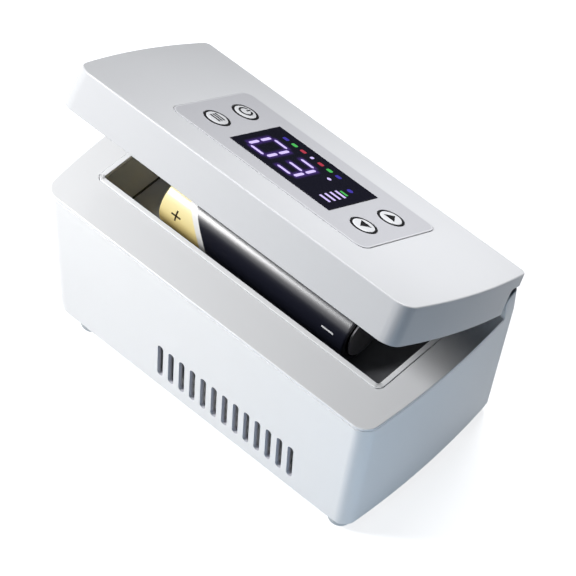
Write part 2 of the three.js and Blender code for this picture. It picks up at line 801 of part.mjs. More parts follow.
const coldPlate = slab(coldPlateLength, coldPlateWidth, coldPlateUnder, coldPlateTop, ventCentreX);
const coolingModule = slab(moduleSide, moduleSide, moduleUnder, moduleTop, ventCentreX);
const sensor = slab(sensorLength, sensorWidth, coldPlateTop - sensorHeight, coldPlateTop, sensorX);
const board = block(boardLeft, boardRight, -boardWidth / 2, boardWidth / 2, boardUnder, boardTop);
const capLeft = batteryLeft - seam - positiveCapHeight;
const positiveCap = batteryContact(positiveCapRadius, capLeft, positiveCapHeight);
const negativePlate = batteryContact(negativePlateRadius, batteryRight + seam, negativePlateThickness);
const magnet = disc(magnetRadius, linerTop + seam, linerTop + seam + magnetHeight);
const displayWindow = slab(windowLength, windowWidth, recessFloor + seam, windowTop, 0, windowShiftY);
const lidBoard = slab(lidBoardLength, lidBoardWidth, lidBoardUnder, lidBoardTop);

// The base and what it carries
add(model, 'base_shell', baseShell(), 'whiteShell');
add(model, 'bottom_cover', bottomCover(), 'whiteShell');
add(model, 'deck_plate', deckPlate(), 'paleDeck');
add(model, 'well_frame', wellFrame(), 'whiteTrim');
add(model, 'chamber_tray', chamberTray(), 'darkTray');
add(model, 'chamber_insulation', chamberInsulation(), 'whiteFoam');
add(model, 'cold_plate', coldPlate, 'bareMetal');
add(model, 'thermoelectric_module', coolingModule, 'ceramic');
add(model, 'heat_sink', heatSink(), 'bareMetal');
add(model, 'fan_frame', fanFrame(), 'blackPlastic');
add(model, 'fan_rotor', fanRotor(), 'blackPlastic');
add(model, 'control_board', board, 'greenBoard');
add(model, 'power_jack', powerJack(), 'blackPlastic');
add(model, 'temperature_sensor', sensor, 'blackPlastic');
add(model, 'battery_body', batteryBody(), 'blackJacket');
add(model, 'battery_positive_cap', positiveCap, 'bareMetal');
add(model, 'battery_negative_plate', negativePlate, 'bareMetal');
for (const [row, sy] of rows) {
  for (const [side, sx] of sides) {
    add(model, `foot_${row}_${side}`, foot().translate(footX[side], sy * footY, 0), 'paleRubber');
    add(model, `cover_screw_${row}_${side}`, coverScrew().translate(sx * bossX, sy * bossY, 0), 'bareMetal');
  }
}
for (const [side, sx] of sides) {
  add(model, `hinge_pin_${side}`, hingePin(sx * hingeX), 'bareMetal');
  add(model, `strike_plate_${side}`, strikePlate(sx * catchX), 'bareMetal');
}

// The lid and what it carries
add(lid, 'lid_shell', lidShell(), 'whiteShell');
add(lid, 'control_panel', controlPanel(), 'silverPanel');
add(lid, 'display_window', displayWindow, 'blackGlass');
add(lid, 'display_module', displayModule(), 'blackPlastic');
add(lid, 'lid_board', lidBoard, 'greenBoard');
add(lid, 'lid_insulation', lidInsulation(), 'whiteFoam');
add(lid, 'lid_liner', lidLiner(), 'darkLiner');
add(lid, 'lid_gasket', lidGasket(), 'darkRubber');
for (const [side, sx] of sides) {
  add(lid, `lid_magnet_${side}`, magnet.translate(sx * catchX, catchY, 0), 'bareMetal');
}
for (const [place, x, y] of buttonPlaces) {
  add(lid, `button_${place}`, button(x, y), 'whiteTrim');
  add(lid, `key_switch_${place}`, keySwitch(x, y), 'blackPlastic');
}

export default model;
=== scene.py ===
"""Looks of the insulin cooling case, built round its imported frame. Lengths are in metres."""

import json
import math

import bmesh
import bpy
from mathutils import Matrix, Vector


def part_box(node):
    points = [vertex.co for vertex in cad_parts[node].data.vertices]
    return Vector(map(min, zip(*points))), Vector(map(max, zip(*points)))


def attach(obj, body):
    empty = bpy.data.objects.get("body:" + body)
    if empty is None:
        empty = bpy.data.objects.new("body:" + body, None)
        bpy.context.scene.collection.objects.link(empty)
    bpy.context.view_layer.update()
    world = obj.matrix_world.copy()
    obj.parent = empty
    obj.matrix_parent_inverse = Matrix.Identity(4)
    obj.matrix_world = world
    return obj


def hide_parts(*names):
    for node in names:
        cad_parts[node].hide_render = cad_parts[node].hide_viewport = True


bl_info = {
    "name": "Insulin cooling case",
    "version": (1, 0, 0),
    "blender": (4, 5, 0),
    "location": "3D View > Sidebar > Cooling case",
    "description": "Builds the shells, panel, display, buttons, battery and chamber of the case",
    "category": "Object",
}

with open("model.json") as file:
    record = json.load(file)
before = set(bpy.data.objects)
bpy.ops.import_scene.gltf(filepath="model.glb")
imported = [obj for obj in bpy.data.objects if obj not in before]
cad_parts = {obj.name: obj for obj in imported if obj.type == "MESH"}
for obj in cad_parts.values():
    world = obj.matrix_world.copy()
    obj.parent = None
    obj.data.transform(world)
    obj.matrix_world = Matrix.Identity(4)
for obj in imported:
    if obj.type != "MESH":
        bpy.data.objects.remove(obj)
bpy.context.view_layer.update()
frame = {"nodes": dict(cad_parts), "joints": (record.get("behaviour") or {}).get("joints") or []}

MM = 0.001
TINY = 0.01 * MM
QUARTER = math.pi / 2
SHARP = math.radians(35)


def mm(*values):
    """Lengths given in millimetres."""
    return [value * MM for value in values]


# The case's outline, the same for base, deck and lid
SHELL_LOW, SHELL_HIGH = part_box("base_shell")
DECK_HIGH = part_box("deck_plate")[1]
HALF_LENGTH, HALF_WIDTH = DECK_HIGH.x, SHELL_HIGH.y
END_BOW, CORNER, REAR_CORNER, END_LEAN, LID_LEAN = mm(3.2, 7.2, 3, 6.9, 0.75)
WALL, SEAM, SPARE = mm(2.4, 0.3, 1)
BEYOND = HALF_LENGTH + SPARE

# Heights in the base, and the hump along its rear
DECK_TOP = DECK_HIGH.z
DECK_UNDER = DECK_TOP - 1.6 * MM
SHELL_TOP, SHELL_BOTTOM = DECK_UNDER - SEAM, SHELL_LOW.z
HUMP_TOP, HUMP_FOOT = SHELL_HIGH.z, DECK_TOP - 6.5 * MM
HUMP_FRONT = HALF_WIDTH - 9.6 * MM
HUMP_DEPTH, HUMP_Y = HALF_WIDTH - HUMP_FRONT, (HALF_WIDTH + HUMP_FRONT) / 2
HUMP_ROUND, HUMP_REAR_ROUND, HUMP_END_ROUND = mm(4.8, 1.6, 0.8)
HUMP_GAP, NOTCH_GAP = mm(0.6, 1.1)
HUMP_EDGE_ANGLE = math.radians(50)
HINGE_X, LUG_LENGTH, LUG_RADIUS, PIN_BORE = mm(60, 16, 2.55, 1.3)

# Vents, bottom cover, feet and screws
VENTS, INTAKES = 13, 6
VENT_WIDTH, VENT_HEIGHT, VENT_PITCH, VENT_X, VENT_Z = mm(3.4, 21, 6.64, 16.5, 19.9)
COVER_INSET, COVER_EDGE = mm(0.6, 0.9)
INTAKE_SIZE = mm(44, 3)
INTAKE_CORNER, INTAKE_X, INTAKE_PITCH = mm(1.4, 16.5, 7)
FOOT_RECESS, FOOT_TAPER, FOOT_EDGE = mm(1, 0.8, 0.7)
SCREW_RECESS, SCREW_RADIUS, SCREW_HEAD, SCREW_EDGE = mm(1.8, 1.5, 1.2, 0.4)
CROSS, CROSS_DEPTH = mm(3.4, 0.7), 0.8 * MM

# The chamber and the battery in it
MOUTH_LENGTH, MOUTH_WIDTH, MOUTH_CORNER, FRAME_BAND = mm(165.5, 51.5, 1.2, 2.5)
TRAY_LOW, TRAY_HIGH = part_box("chamber_tray")
TRAY_WALL, TRAY_ROUND, FLANGE_BAND, FLANGE_THICKNESS = mm(1.5, 0.8, 6, 1.2)
TRAY_FLOOR = TRAY_LOW.z + TRAY_WALL
CRADLE_X, CRADLE_HEIGHT, CRADLE_CORNER, CRADLE_EDGE = mm(35, 6, 0.8, 0.5)
CRADLE_THICKNESS, CRADLE_WIDTH = mm(4, 24)
BATTERY_LOW, BATTERY_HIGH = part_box("battery_body")
BATTERY_RADIUS = (BATTERY_HIGH.y - BATTERY_LOW.y) / 2
BATTERY_AXIS = (BATTERY_LOW + BATTERY_HIGH) / 2
SLEEVE_EDGE = 1 * MM
# The sleeve's folded ends, as steps inward from its radius and their depths
SLEEVE_FOLD = (mm(2.2, 0.5), mm(2.0, 0.1), mm(1.6, 0))
CAP_RADIUS, CAP_NECK, CAP_STEP, CAP_SEAT, CAP_EDGE = mm(5, 3.6, 1, 0.5, 0.3)
DISH_EDGE, DISH_RIM, DISH_WIDTH = mm(0.25, 2.2, 3)
DISH_SHARE = 0.55

# The power socket
JACK_LOW, JACK_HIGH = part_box("power_jack")
JACK_Z = (JACK_LOW.z + JACK_HIGH.z) / 2
JACK_RADIUS, JACK_BORE, JACK_DEPTH, JACK_EDGE, JACK_NOSE = mm(4.4, 3.1, 9, 0.4, 11)
JACK_BLOCK_X, JACK_BLOCK_WIDTH = JACK_LOW.x + 2.9 * MM, 9 * MM
JACK_HOLE = mm(4.7, 0, 10)
JACK_PIN = (mm(0, 1.6), mm(0.5, 1.7), mm(0.85, 2.4), mm(0.85, 10), mm(0, 10))

# The lid's pieces are made as if it were shut, then turned about the hinge to the pose shown
HINGE = next(j for j in frame["joints"] if j["name"] == "lid_hinge")
HINGE_POINT = Vector(HINGE["pos_m"])
OPENING = math.radians(-HINGE["range_deg"][0])
TURN = Matrix.Rotation(OPENING, 4, Vector(HINGE["axis"]))
LID_OPEN = Matrix.Translation(HINGE_POINT) @ TURN @ Matrix.Translation(-HINGE_POINT)
LID_SHUT = LID_OPEN.inverted()


def shut_box(node):
    """A lid node's lowest and highest corners with the lid shut."""
    corners = [LID_SHUT @ v.co for v in frame["nodes"][node].data.vertices]
    return [Vector([pick(c[i] for c in corners) for i in range(3)]) for pick in (min, max)]


LID_BOTTOM, LID_TOP = (corner.z for corner in shut_box("lid_shell"))
LID_CEILING = LID_TOP - WALL
LID_LOWER_EDGE, LINER_EDGE, LINER_RECESS = mm(0.4, 0.5, 0.6)
LINER_PAD, LINER_PAD_CORNER = mm(150, 36), 4 * MM
SEAL_BAND, SEAL_EDGE = mm(4, 0.4)
SEAL_CORNER = MOUTH_CORNER + 7.7 * MM
PANEL = PANEL_LOW, PANEL_HIGH = shut_box("control_panel")
PANEL_MIDDLE, PANEL_SIZE = (PANEL_LOW + PANEL_HIGH) / 2, PANEL_HIGH - PANEL_LOW
WINDOW = WINDOW_LOW, WINDOW_HIGH = shut_box("display_window")
PANEL_CORNER, HOLE_CORNER, WINDOW_LEDGE = mm(5, 0.6, 2.5)
WINDOW_CORNER, WINDOW_EDGE = mm(0.5, 0.2)
BUTTONS = {name: shut_box(f"button_{name}")
           for name in ("left_near", "left_far", "right_near", "right_far")}
BUTTON_RADIUS, STEM_RADIUS, STEM_LENGTH, SIGN_WIDTH = mm(6.3, 1.6, 2, 0.85)
FLANGE_RADIUS, FLANGE_HEIGHT = mm(7.9, 1.2)


def a_length(name, about, value):
    """A length among the settings, given in millimetres."""
    return bpy.props.FloatProperty(
        name=name, description=about, default=value * MM, unit="LENGTH")


def a_colour(name, about, *value):
    """A colour among the settings."""
    return bpy.props.FloatVectorProperty(
        name=name, description=about, subtype="COLOR", size=3, default=value)


def a_power(name, about, value):
    """A lamp's power among the settings."""
    return bpy.props.FloatProperty(name=name, description=about, default=value, unit="POWER")


class CaseSizes(bpy.types.PropertyGroup):
    """Edge roundings and small details, none of which changes the case's size."""

    shell_edge: a_length("Shell edge", "Rounding of the base shell's lower edge", 0.6)
    deck_edge: a_length("Deck edge", "Rounding of the deck plate's outer edge", 0.5)
    lid_edge: a_length("Lid edge", "Rounding between the lid's top and its skirt", 0.7)
    trim_edge: a_length("Trim edge", "Rounding of the chamber frame and panel", 0.25)
    ring_width: a_length("Button ring", "Width of the black ring round each button", 1.1)
    crown: a_length("Button crown", "Height of a push button's crown over its rim", 0.45)


class CaseColours(bpy.types.PropertyGroup):
    """Base colours of the main finishes."""

    shell: a_colour("Shell", "White moulded plastic of the base", 0.9, 0.903, 0.91)
    lid: a_colour("Lid", "Slightly greyer moulded plastic of the lid", 0.575, 0.584, 0.606)
    deck: a_colour("Deck", "Pale plastic of the deck plate", 0.82, 0.83, 0.852)
    trim: a_colour("Trim", "White plastic of the chamber frame", 0.88, 0.89, 0.91)
    panel: a_colour("Panel", "Silver-grey film of the control panel", 0.42, 0.424, 0.452)
    tray: a_colour("Tray", "Dark plastic that lines the chamber", 0.16, 0.162, 0.172)
    sleeve: a_colour("Sleeve", "Black of the battery's sleeve", 0.01, 0.011, 0.02)
    # The two golds are one gold in painted light and painted shade: lighter on the sleeve's upper
    # side, deeper on its lower side
    band: a_colour("Band", "Gold of the sleeve, on its upper side", 1.0, 0.9, 0.5)
    band_painted_shade: a_colour("Band shade", "Gold of the sleeve, on its lower side", 1.0, 0.74, 0.24)


class CaseDisplay(bpy.types.PropertyGroup):
    """What the display shows, and how brightly."""

    reading: bpy.props.StringProperty(
        name="Reading", description="Digits shown, 0 to 9", default="03")
    digit_colour: a_colour("Digits", "Light of the digits", 0.68, 0.56, 1.0)
    glow_colour: a_colour("Glow", "Faint light round the digits", 0.16, 0.06, 0.5)
    strength: bpy.props.FloatProperty(
        name="Strength", description="Brightness of the display's light", default=1.1)


class CaseStudio(bpy.types.PropertyGroup):
    """Lamps and background."""

    key_power: a_power("Key lamp", "Power of the soft lamp at the front left", 3.15)
    front_power: a_power("Front lamp", "Power of the high lamp in front", 2.1)
    low_power: a_power("Low lamp", "Power of the low lamp in front", 1.0)
    top_power: a_power("Top lamp", "Power of the lamp close above the lid's right half", 0.58)
    side_power: a_power("Side lamp", "Power of the small cool lamp on the right", 0.13)
    sky: a_colour("Sky", "Even light from all round", 0.0, 0.002, 0.005)


def sizes():
    return bpy.context.scene.case_sizes


def maths(operation, swapped=False):
    """An operator of a signal, which adds a Math node."""
    def act(self, *others):
        values = (*others, self) if swapped else (self, *others)
        return self.finish.node("Math", {"operation": operation}, values)
    return act


class Signal:
    """A socket of a finish, so that masks and patterns read as arithmetic."""

    def __init__(self, finish, socket):
        self.finish = finish
        self.socket = socket

    __add__ = __radd__ = maths("ADD")
    __mul__ = __rmul__ = maths("MULTIPLY")
    __sub__, __rsub__ = maths("SUBTRACT"), maths("SUBTRACT", swapped=True)
    __truediv__ = maths("DIVIDE")
    __gt__, __lt__ = maths("GREATER_THAN"), maths("LESS_THAN")
    __abs__ = maths("ABSOLUTE")
    least, most, root = maths("MINIMUM"), maths("MAXIMUM"), maths("SQRT")
    turned_from = maths("ARCTAN2")


class Finish:
    """A material or world while its nodes are laid out."""

    def __init__(self, holder):
        holder.use_nodes = True
        self.tree = holder.node_tree
        self.tree.nodes.clear()

    def node(self, kind, settings=None, sockets=(), output=0):
        """Adds one shader node, with its settings first, and gives one of its outputs."""
        made = self.tree.nodes.new("ShaderNode" + kind)
        for key, value in (settings or {}).items():
            setattr(made, key, value)
        pairs = sockets.items() if isinstance(sockets, dict) else enumerate(sockets)
        for key, value in pairs:
            if isinstance(value, Signal):
                self.tree.links.new(value.socket, made.inputs[key])
            else:
                made.inputs[key].default_value = value
        return Signal(self, made.outputs[output]) if made.outputs else None

    def place(self):
        """Object coordinates."""
        return self.node("TexCoord", output="Object")

    def shut_place(self):
        """Object coordinates of a lid piece, turned back to where it lies with the lid shut."""
        return self.node("Mapping", {}, {
            "Vector": self.place(), "Location": LID_SHUT.to_translation(),
            "Rotation": LID_SHUT.to_euler()})

    def axes(self, place, names="XYZ"):
        return [self.node("SeparateXYZ", {}, [place], name) for name in names]

    def noise(self, place, scale, detail=2.0, roughness=0.5):
        return self.node("TexNoise", {}, {
            "Vector": place, "Scale": scale, "Detail": detail, "Roughness": roughness})

    def cells(self, place, scale, feature):
        return self.node("TexVoronoi", {"feature": feature}, {
            "Vector": place, "Scale": scale})

    def step(self, value, low, high):
        """0 up to the low value and 1 from the high one, smooth between."""
        return self.node("MapRange", {"interpolation_type": "SMOOTHSTEP"}, {
            "Value": value, "From Min": low, "From Max": high})

    def blend(self, mask, first, second):
        """The first colour where the mask is 0, the second where it is 1."""
        return self.node("Mix", {"data_type": "RGBA"}, {
            0: mask, 6: opaque(first), 7: opaque(second)}, 2)

    def varied(self, mask, colour, low, high):
        """A colour that runs between two strengths of itself."""
        return self.blend(mask, shade(colour, low), shade(colour, high))

    def bump(self, height, distance, strength=1.0):
        """A relief, with its distance in millimetres."""
        return self.node("Bump", {}, {
            "Height": height, "Distance": distance * MM, "Strength": strength})

    def surface(self, colour, roughness, normal=None, **constants):
        """Closes the finish with one shader."""
        sockets = {"Base Color": opaque(colour), "Roughness": roughness}
        if normal is not None:
            sockets["Normal"] = normal
        for name, value in constants.items():
            sockets[name.replace("_", " ").title().replace("Ior", "IOR")] = value
        shader = self.node("BsdfPrincipled", {}, sockets)
        self.node("OutputMaterial", {}, {"Surface": shader})


def opaque(colour):
    """A colour with its fourth number, or a linked one as it is."""
    return colour if isinstance(colour, Signal) else (*colour[:3], 1.0)


def shade(colour, share):
    """A colour made darker or lighter."""
    return tuple(part * share for part in colour)


def finish_of(name):
    """A finish by name, made once."""
    made = bpy.data.materials.get(name)
    if made is None:
        made = bpy.data.materials.new(name)
        make, *values = recipes()[name]
        make(Finish(made), *values)
    return made


def recipes():
    """What lays out each finish, and its values: first the colour, then the roughness."""
    own, display = bpy.context.scene.case_colours, bpy.context.scene.case_display
    return {
        # Moulded plastics: grain in millimetres, drift of tone and gloss come last
        "white moulded shell": (moulded, own.shell, 0.32, 0.012, 0.02, 0.2),
        "white moulded lid": (moulded, own.lid, 0.32, 0.012, 0.02, 0.45),
        "pale deck plastic": (moulded, own.deck, 0.24, 0.004, 0.02, 0.55),
        "white trim plastic": (moulded, own.trim, 0.28, 0.004),
        "near-black liner": (moulded, (0.03, 0.033, 0.04), 0.4, 0.02, 0.15),
        # Painted shade: the notch wall is near-black where the white lid plastic lies in the
        # shade of the notch
        "shaded notch wall": (moulded, (0.012, 0.014, 0.018), 0.7, 0.012, 0.15, 0.1),
        # Painted shade: the vent slot walls are grey instead of white, standing for the shade
        # inside the slots
        "shaded vent wall": (moulded, (0.52, 0.53, 0.58), 0.6, 0.012, 0.06),
        "black moulded plastic": (moulded, (0.01, 0.011, 0.013), 0.4, 0.015, 0.2),
        "black button print": (moulded, (0.004, 0.004, 0.005), 0.6, 0.012, 0.02, 0.08),
        "dark satin tray": (satin_tray, own.tray),
        "black seal rubber": (rubber, (0.03, 0.032, 0.035)),
        "pale foot rubber": (rubber, (0.6, 0.63, 0.65)),
        "plated steel": (brushed, (0.6, 0.61, 0.62), 0.28),
        "battery contact": (brushed, (0.55, 0.55, 0.57), 0.35, (2200.0,) * 3),
        "milled aluminium": (brushed, (0.66, 0.67, 0.69), 0.34),
        "insulation foam": (foam,),
        "coated circuit board": (coated_board,),
        "fired ceramic": (fired_ceramic,),
        "battery sleeve": (sleeve, own),
        "silver panel film": (panel_film, own.panel),
        "black window": (window_glass, display.glow_colour),
        # Lights: the strength comes last
        "digit light": (lit, display.digit_colour, display.strength),
        "blue light": (lit, (0.03, 0.012, 0.36), 1.0),
        "green light": (lit, (0.05, 0.5, 0.07), 1.0),
        "red light": (lit, (0.45, 0.015, 0.035), 1.0),
    }


def moulded(finish, colour, roughness, grain, drift=0.02, gloss=0.5):
    """Moulded plastic: a slow drift of tone, fine spark texture and a little uneven gloss."""
    place = finish.place()
    cloud = finish.noise(place, 14.0, 3.0)
    spark = finish.noise(place, 2600.0, 2.0, 0.6)
    smear = finish.noise(place, 60.0, 4.0, 0.6)
    tint = finish.varied(cloud, colour, 1 - drift, 1 + drift)
    finish.surface(tint, roughness + (smear - 0.5) * 0.12, finish.bump(spark, grain),
                   specular_ior_level=gloss)


def satin_tray(finish, colour):
    """Dark satin plastic, with painted light that lightens its left end, and a painted shade line
    round the floor there.
    """
    place = finish.place()
    x, z = finish.axes(place, "XZ")
    cloud = finish.noise(place, 14.0, 3.0)
    spark = finish.noise(place, 2600.0, 2.0, 0.6)
    tint = finish.varied(cloud, colour, 0.9, 1.1)
    # Painted light: the left end of the chamber is made lighter, standing for light that falls
    # there
    painted_light_left = 1 - finish.step(x, -68 * MM, -50 * MM)
    tint = finish.blend(painted_light_left, tint, (0.5, 0.525, 0.58))
    # Painted shade: a dark line where the left wall meets the floor stands for the shade in that
    # corner
    height = z - TRAY_FLOOR
    line = (height > 0.02 * MM) * (height < 0.7 * MM) * (x < 0.8 * MM - MOUTH_LENGTH / 2)
    tint = finish.blend(line, tint, (0.02, 0.02, 0.02))
    finish.surface(tint, 0.42 + (cloud - 0.5) * 0.12, finish.bump(spark, 0.02))


def rubber(finish, colour):
    """Soft rubber with a dusty, pitted face."""
    place = finish.place()
    dust = finish.noise(place, 220.0, 5.0, 0.7)
    pits = finish.cells(place, 1500.0, "F1")
    finish.surface(finish.varied(dust, colour, 0.88, 1.1), 0.62 + dust * 0.25,
                   finish.bump(pits, 0.03, 0.5), specular_ior_level=0.35)


def brushed(finish, colour, roughness, scale=(900.0, 40.0, 900.0)):
    """Bare metal with fine lines along one axis."""
    place = finish.place()
    stretched = finish.node("Mapping", {}, {"Vector": place, "Scale": scale})
    lines = finish.noise(stretched, 1.0, 4.0, 0.65)
    stain = finish.noise(place, 90.0, 3.0)
    finish.surface(finish.varied(stain, colour, 0.9, 1.06), roughness + (lines - 0.5) * 0.25,
                   finish.bump(lines, 0.01), metallic=1.0)


def foam(finish):
    """Closed-cell foam."""
    place = finish.place()
    cells = finish.cells(place, 700.0, "SMOOTH_F1")
    stain = finish.noise(place, 30.0, 4.0)
    tint = finish.blend(stain, (0.8, 0.78, 0.7), (0.88, 0.87, 0.82))
    finish.surface(tint, 0.9, finish.bump(cells, 0.15))


def coated_board(finish):
    """Green board with copper tracks showing under the coat."""
    place = finish.place()
    tracks = finish.node("TexBrick", {"offset": 0.37, "squash": 1.6}, {
        "Vector": place, "Scale": 240.0, "Mortar Size": 0.06, "Mortar Smooth": 0.2}, 1)
    cloud = finish.noise(place, 40.0)
    plain = finish.blend(cloud, (0.016, 0.12, 0.05), (0.024, 0.155, 0.07))
    tint = finish.blend(tracks, plain, (0.05, 0.22, 0.1))
    finish.surface(tint, 0.34 + cloud * 0.1, finish.bump(tracks, 0.03), coat_weight=0.4,
                   coat_roughness=0.2)


def fired_ceramic(finish):
    """White fired plates with a fine grain."""
    grain = finish.noise(finish.place(), 900.0, 4.0, 0.7)
    tint = finish.blend(grain, (0.78, 0.76, 0.68), (0.88, 0.87, 0.8))
    finish.surface(tint, 0.55 + grain * 0.2, finish.bump(grain, 0.02))


def stroke_mask(along, across, length, width):
    """1 inside a printed stroke, from distances along and across it to its middle."""
    return (abs(along) < length) * (abs(across) < width)


def sleeve(finish, own):
    """Battery sleeve: gold end, lighter above and deeper orange below as painted light and shade,
    a curved white stripe, glossy black, and the signs + and -.
    """
    place = finish.place()
    x, y, z = finish.axes(place)
    height = (z - BATTERY_AXIS.z) / BATTERY_RADIUS
    edge = x + 31.5 * MM + height * (4.5 * MM) + height * height * (9.5 * MM)
    white = finish.step(edge, -4.2 * MM, -3.4 * MM)
    black = finish.step(edge, -0.3 * MM, 0.3 * MM)
    fleck = finish.noise(place, 400.0, 4.0, 0.7)
    pale = finish.varied(fleck, own.band, 0.97, 1.03)
    # Painted light and shade: the gold runs from the shaded gold below to the lit gold above
    gold = finish.blend(finish.step(height, -0.5, 0.9), own.band_painted_shade, pale)
    tint = finish.blend(white, gold, (0.88, 0.88, 0.88))
    tint = finish.blend(black, tint, own.sleeve)
    turned = y.turned_from(z - BATTERY_AXIS.z)
    round_way = (turned + math.radians(68)) * BATTERY_RADIUS
    at_plus = x + 50 * MM
    plus = stroke_mask(at_plus, round_way, 2.8 * MM, 0.45 * MM)
    plus = plus.most(stroke_mask(round_way, at_plus, 2.8 * MM, 0.45 * MM))
    minus = stroke_mask(x - 42 * MM, round_way, 3.5 * MM, 0.42 * MM)
    tint = finish.blend(plus, tint, (0.03, 0.02, 0.008))
    tint = finish.blend(minus, tint, (0.8, 0.81, 0.84))
    wrinkle = finish.noise(place, 55.0, 2.0)
    finish.surface(tint, 0.27 + fleck * 0.02, finish.bump(wrinkle, 0.03, 0.1),
                   specular_ior_level=0.75)


def panel_film(finish, colour):
    """Silver-grey film with fine flakes and a pale painted highlight line near its edge."""
    place = finish.shut_place()
    x, y = finish.axes(place, "XY")
    flakes = finish.noise(place, 3200.0, 3.0, 0.8)
    cloud = finish.noise(place, 11.0, 2.0)
    tint = finish.varied(flakes, colour, 0.86, 1.14)
    tint = finish.blend(cloud * 0.25, tint, shade(colour, 1.12))
    across = abs(x - PANEL_MIDDLE.x) - (PANEL_SIZE.x / 2 - PANEL_CORNER)
    along = abs(y - PANEL_MIDDLE.y) - (PANEL_SIZE.y / 2 - PANEL_CORNER)
    round_part = corner_reach(across, along)
    inward = PANEL_CORNER - round_part.most(across.most(along))
    # Painted highlight: a pale line just inside the edge stands for light caught along the
    # panel's edge
    line = 1 - finish.step(abs(inward - 0.45 * MM), 0.25 * MM, 0.45 * MM)
    tint = finish.blend(line * 0.2, tint, (0.86, 0.87, 0.9))
    finish.surface(tint, 0.36 + flakes * 0.1, finish.bump(flakes, 0.006),
                   specular_ior_level=0.5)


def corner_reach(across, along):
    """The distance from a rectangle, from the signed distances to its sides."""
    across, along = across.most(0.0), along.most(0.0)
    return (across * across + along * along).root()


# A digit's seven strokes, clockwise from the far one and then the middle: where each lies,
# in half digits, and whether it lies along X
STROKES = {"a": (0, 1, True), "b": (1, 0.5, False), "c": (1, -0.5, False), "d": (0, -1, True),
           "e": (-1, -0.5, False), "f": (-1, 0.5, False), "g": (0, 0, True)}
DIGITS = ("adfebc", "bc", "agdbe", "agdbc", "gfbc", "agdfc", "agdfec", "abc", "agdfebc",
          "agdfbc")
STROKE_REACH, STROKE_POINT = mm(3.7, 0.85), 0.7 * MM
DIGIT_X, DIGIT_Y, DIGIT_PITCH, DIGIT_HALF_WIDTH, DIGIT_HALF_HEIGHT = mm(
    -17.5, -3.2, 15.8, 5.4, 9.1)


def lit_strokes():
    """The middle and half size of each stroke that the display lights."""
    strokes = []
    for i, digit in enumerate(bpy.context.scene.case_display.reading):
        for stroke in DIGITS[int(digit)]:
            x, y, level = STROKES[stroke]
            centre = (DIGIT_X + i * DIGIT_PITCH + x * DIGIT_HALF_WIDTH,
                      DIGIT_Y + y * DIGIT_HALF_HEIGHT)
            strokes.append((centre, STROKE_REACH if level else STROKE_REACH[::-1]))
    return strokes


def window_glass(finish, glow_colour):
    """Polished black window with a faint glow where the digits light it from behind."""
    place = finish.shut_place()
    x, y = finish.axes(place, "XY")
    nearest = None
    for centre, reach in lit_strokes():
        distance = corner_reach(abs(x - centre[0]) - reach[0], abs(y - centre[1]) - reach[1])
        nearest = nearest.least(distance) if nearest else distance
    haze = 1 - finish.step(nearest, 0.0, 2.8 * MM)
    dust = finish.noise(place, 500.0, 4.0, 0.7)
    tint = finish.blend(dust, (0.005, 0.005, 0.01), (0.008, 0.008, 0.015))
    glow = finish.blend(haze * haze, (0.0, 0.0, 0.0), glow_colour)
    finish.surface(tint, 0.07 + dust * 0.03, emission_color=glow, emission_strength=0.3,
                   specular_ior_level=0.1)


def lit(finish, colour, strength):
    """Light that shines through the window, a little uneven."""
    cloud = finish.noise(finish.place(), 350.0, 2.0)
    finish.surface((0.02, 0.02, 0.03), 0.2, emission_strength=strength,
                   emission_color=finish.varied(cloud, colour, 0.92, 1.05),
                   specular_ior_level=0.1)


def linked(name, data):
    """An object of the scene from its data."""
    made = bpy.data.objects.new(name, data)
    bpy.context.scene.collection.objects.link(made)
    return made


def placed(name, bm, materials):
    """Turns a form into an object of the scene."""
    mesh = bpy.data.meshes.new(name)
    bm.to_mesh(mesh)
    bm.free()
    for material in materials:
        mesh.materials.append(material)
    return linked(name, mesh)


def combine(body, operation, tools):
    """Cuts solids from a form, joins them to it or keeps what they share, one by one."""
    for tool in tools:
        base, other = placed("step", body, (None, None)), placed("step", tool, (None, None))
        step = base.modifiers.new(operation, "BOOLEAN")
        step.operation = operation
        step.solver = "EXACT"
        step.object = other
        graph = bpy.context.evaluated_depsgraph_get()
        mesh = bpy.data.meshes.new_from_object(base.evaluated_get(graph))
        body = bmesh.new()
        body.from_mesh(mesh)
        bmesh.ops.remove_doubles(body, verts=body.verts[:], dist=TINY / 2)
        bmesh.ops.dissolve_degenerate(body, dist=TINY / 2, edges=body.edges[:])
        for used in (base.data, other.data, mesh):
            bpy.data.meshes.remove(used)
    return body


def cut(form, *tools):
    return combine(form, "DIFFERENCE", tools)


def join(form, *tools):
    return combine(form, "UNION", tools)


def gather(*parts):
    """Several separate forms as one."""
    whole = bmesh.new()
    for part in parts:
        mesh = bpy.data.meshes.new("part")
        part.to_mesh(mesh)
        part.free()
        whole.from_mesh(mesh)
        bpy.data.meshes.remove(mesh)
    return whole


def shown(name, bm, finishes, body, slot, *nodes):
    """Makes a finished form a named piece that rides on a body, and opens the lid's pieces."""
    if body != "base":
        turned(bm, LID_OPEN)
    made = placed(name, bm, [finish_of(finish) for finish in finishes])
    made.data.shade_smooth()
    made.data.set_sharp_from_angle(angle=SHARP)
    even = made.modifiers.new("Even shading", "WEIGHTED_NORMAL")
    even.keep_sharp = True
    even.weight = 100
    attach(made, body)
    if nodes:
        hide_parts(*nodes)


def turned(bm, matrix):
    bmesh.ops.transform(bm, matrix=matrix, verts=bm.verts[:])
    return bm


def moved(bm, x=0.0, y=0.0, z=0.0):
    return turned(bm, Matrix.Translation((x, y, z)))


def swept(bm, x=0.0, z=0.0):
    """Sweeps a flat form into a solid."""
    grown = bmesh.ops.extrude_face_region(bm, geom=bm.faces[:])
    far = [g for g in grown["geom"] if isinstance(g, bmesh.types.BMVert)]
    bmesh.ops.translate(bm, vec=(x, 0, z), verts=far)
    bmesh.ops.recalc_face_normals(bm, faces=bm.faces[:])
    return bm


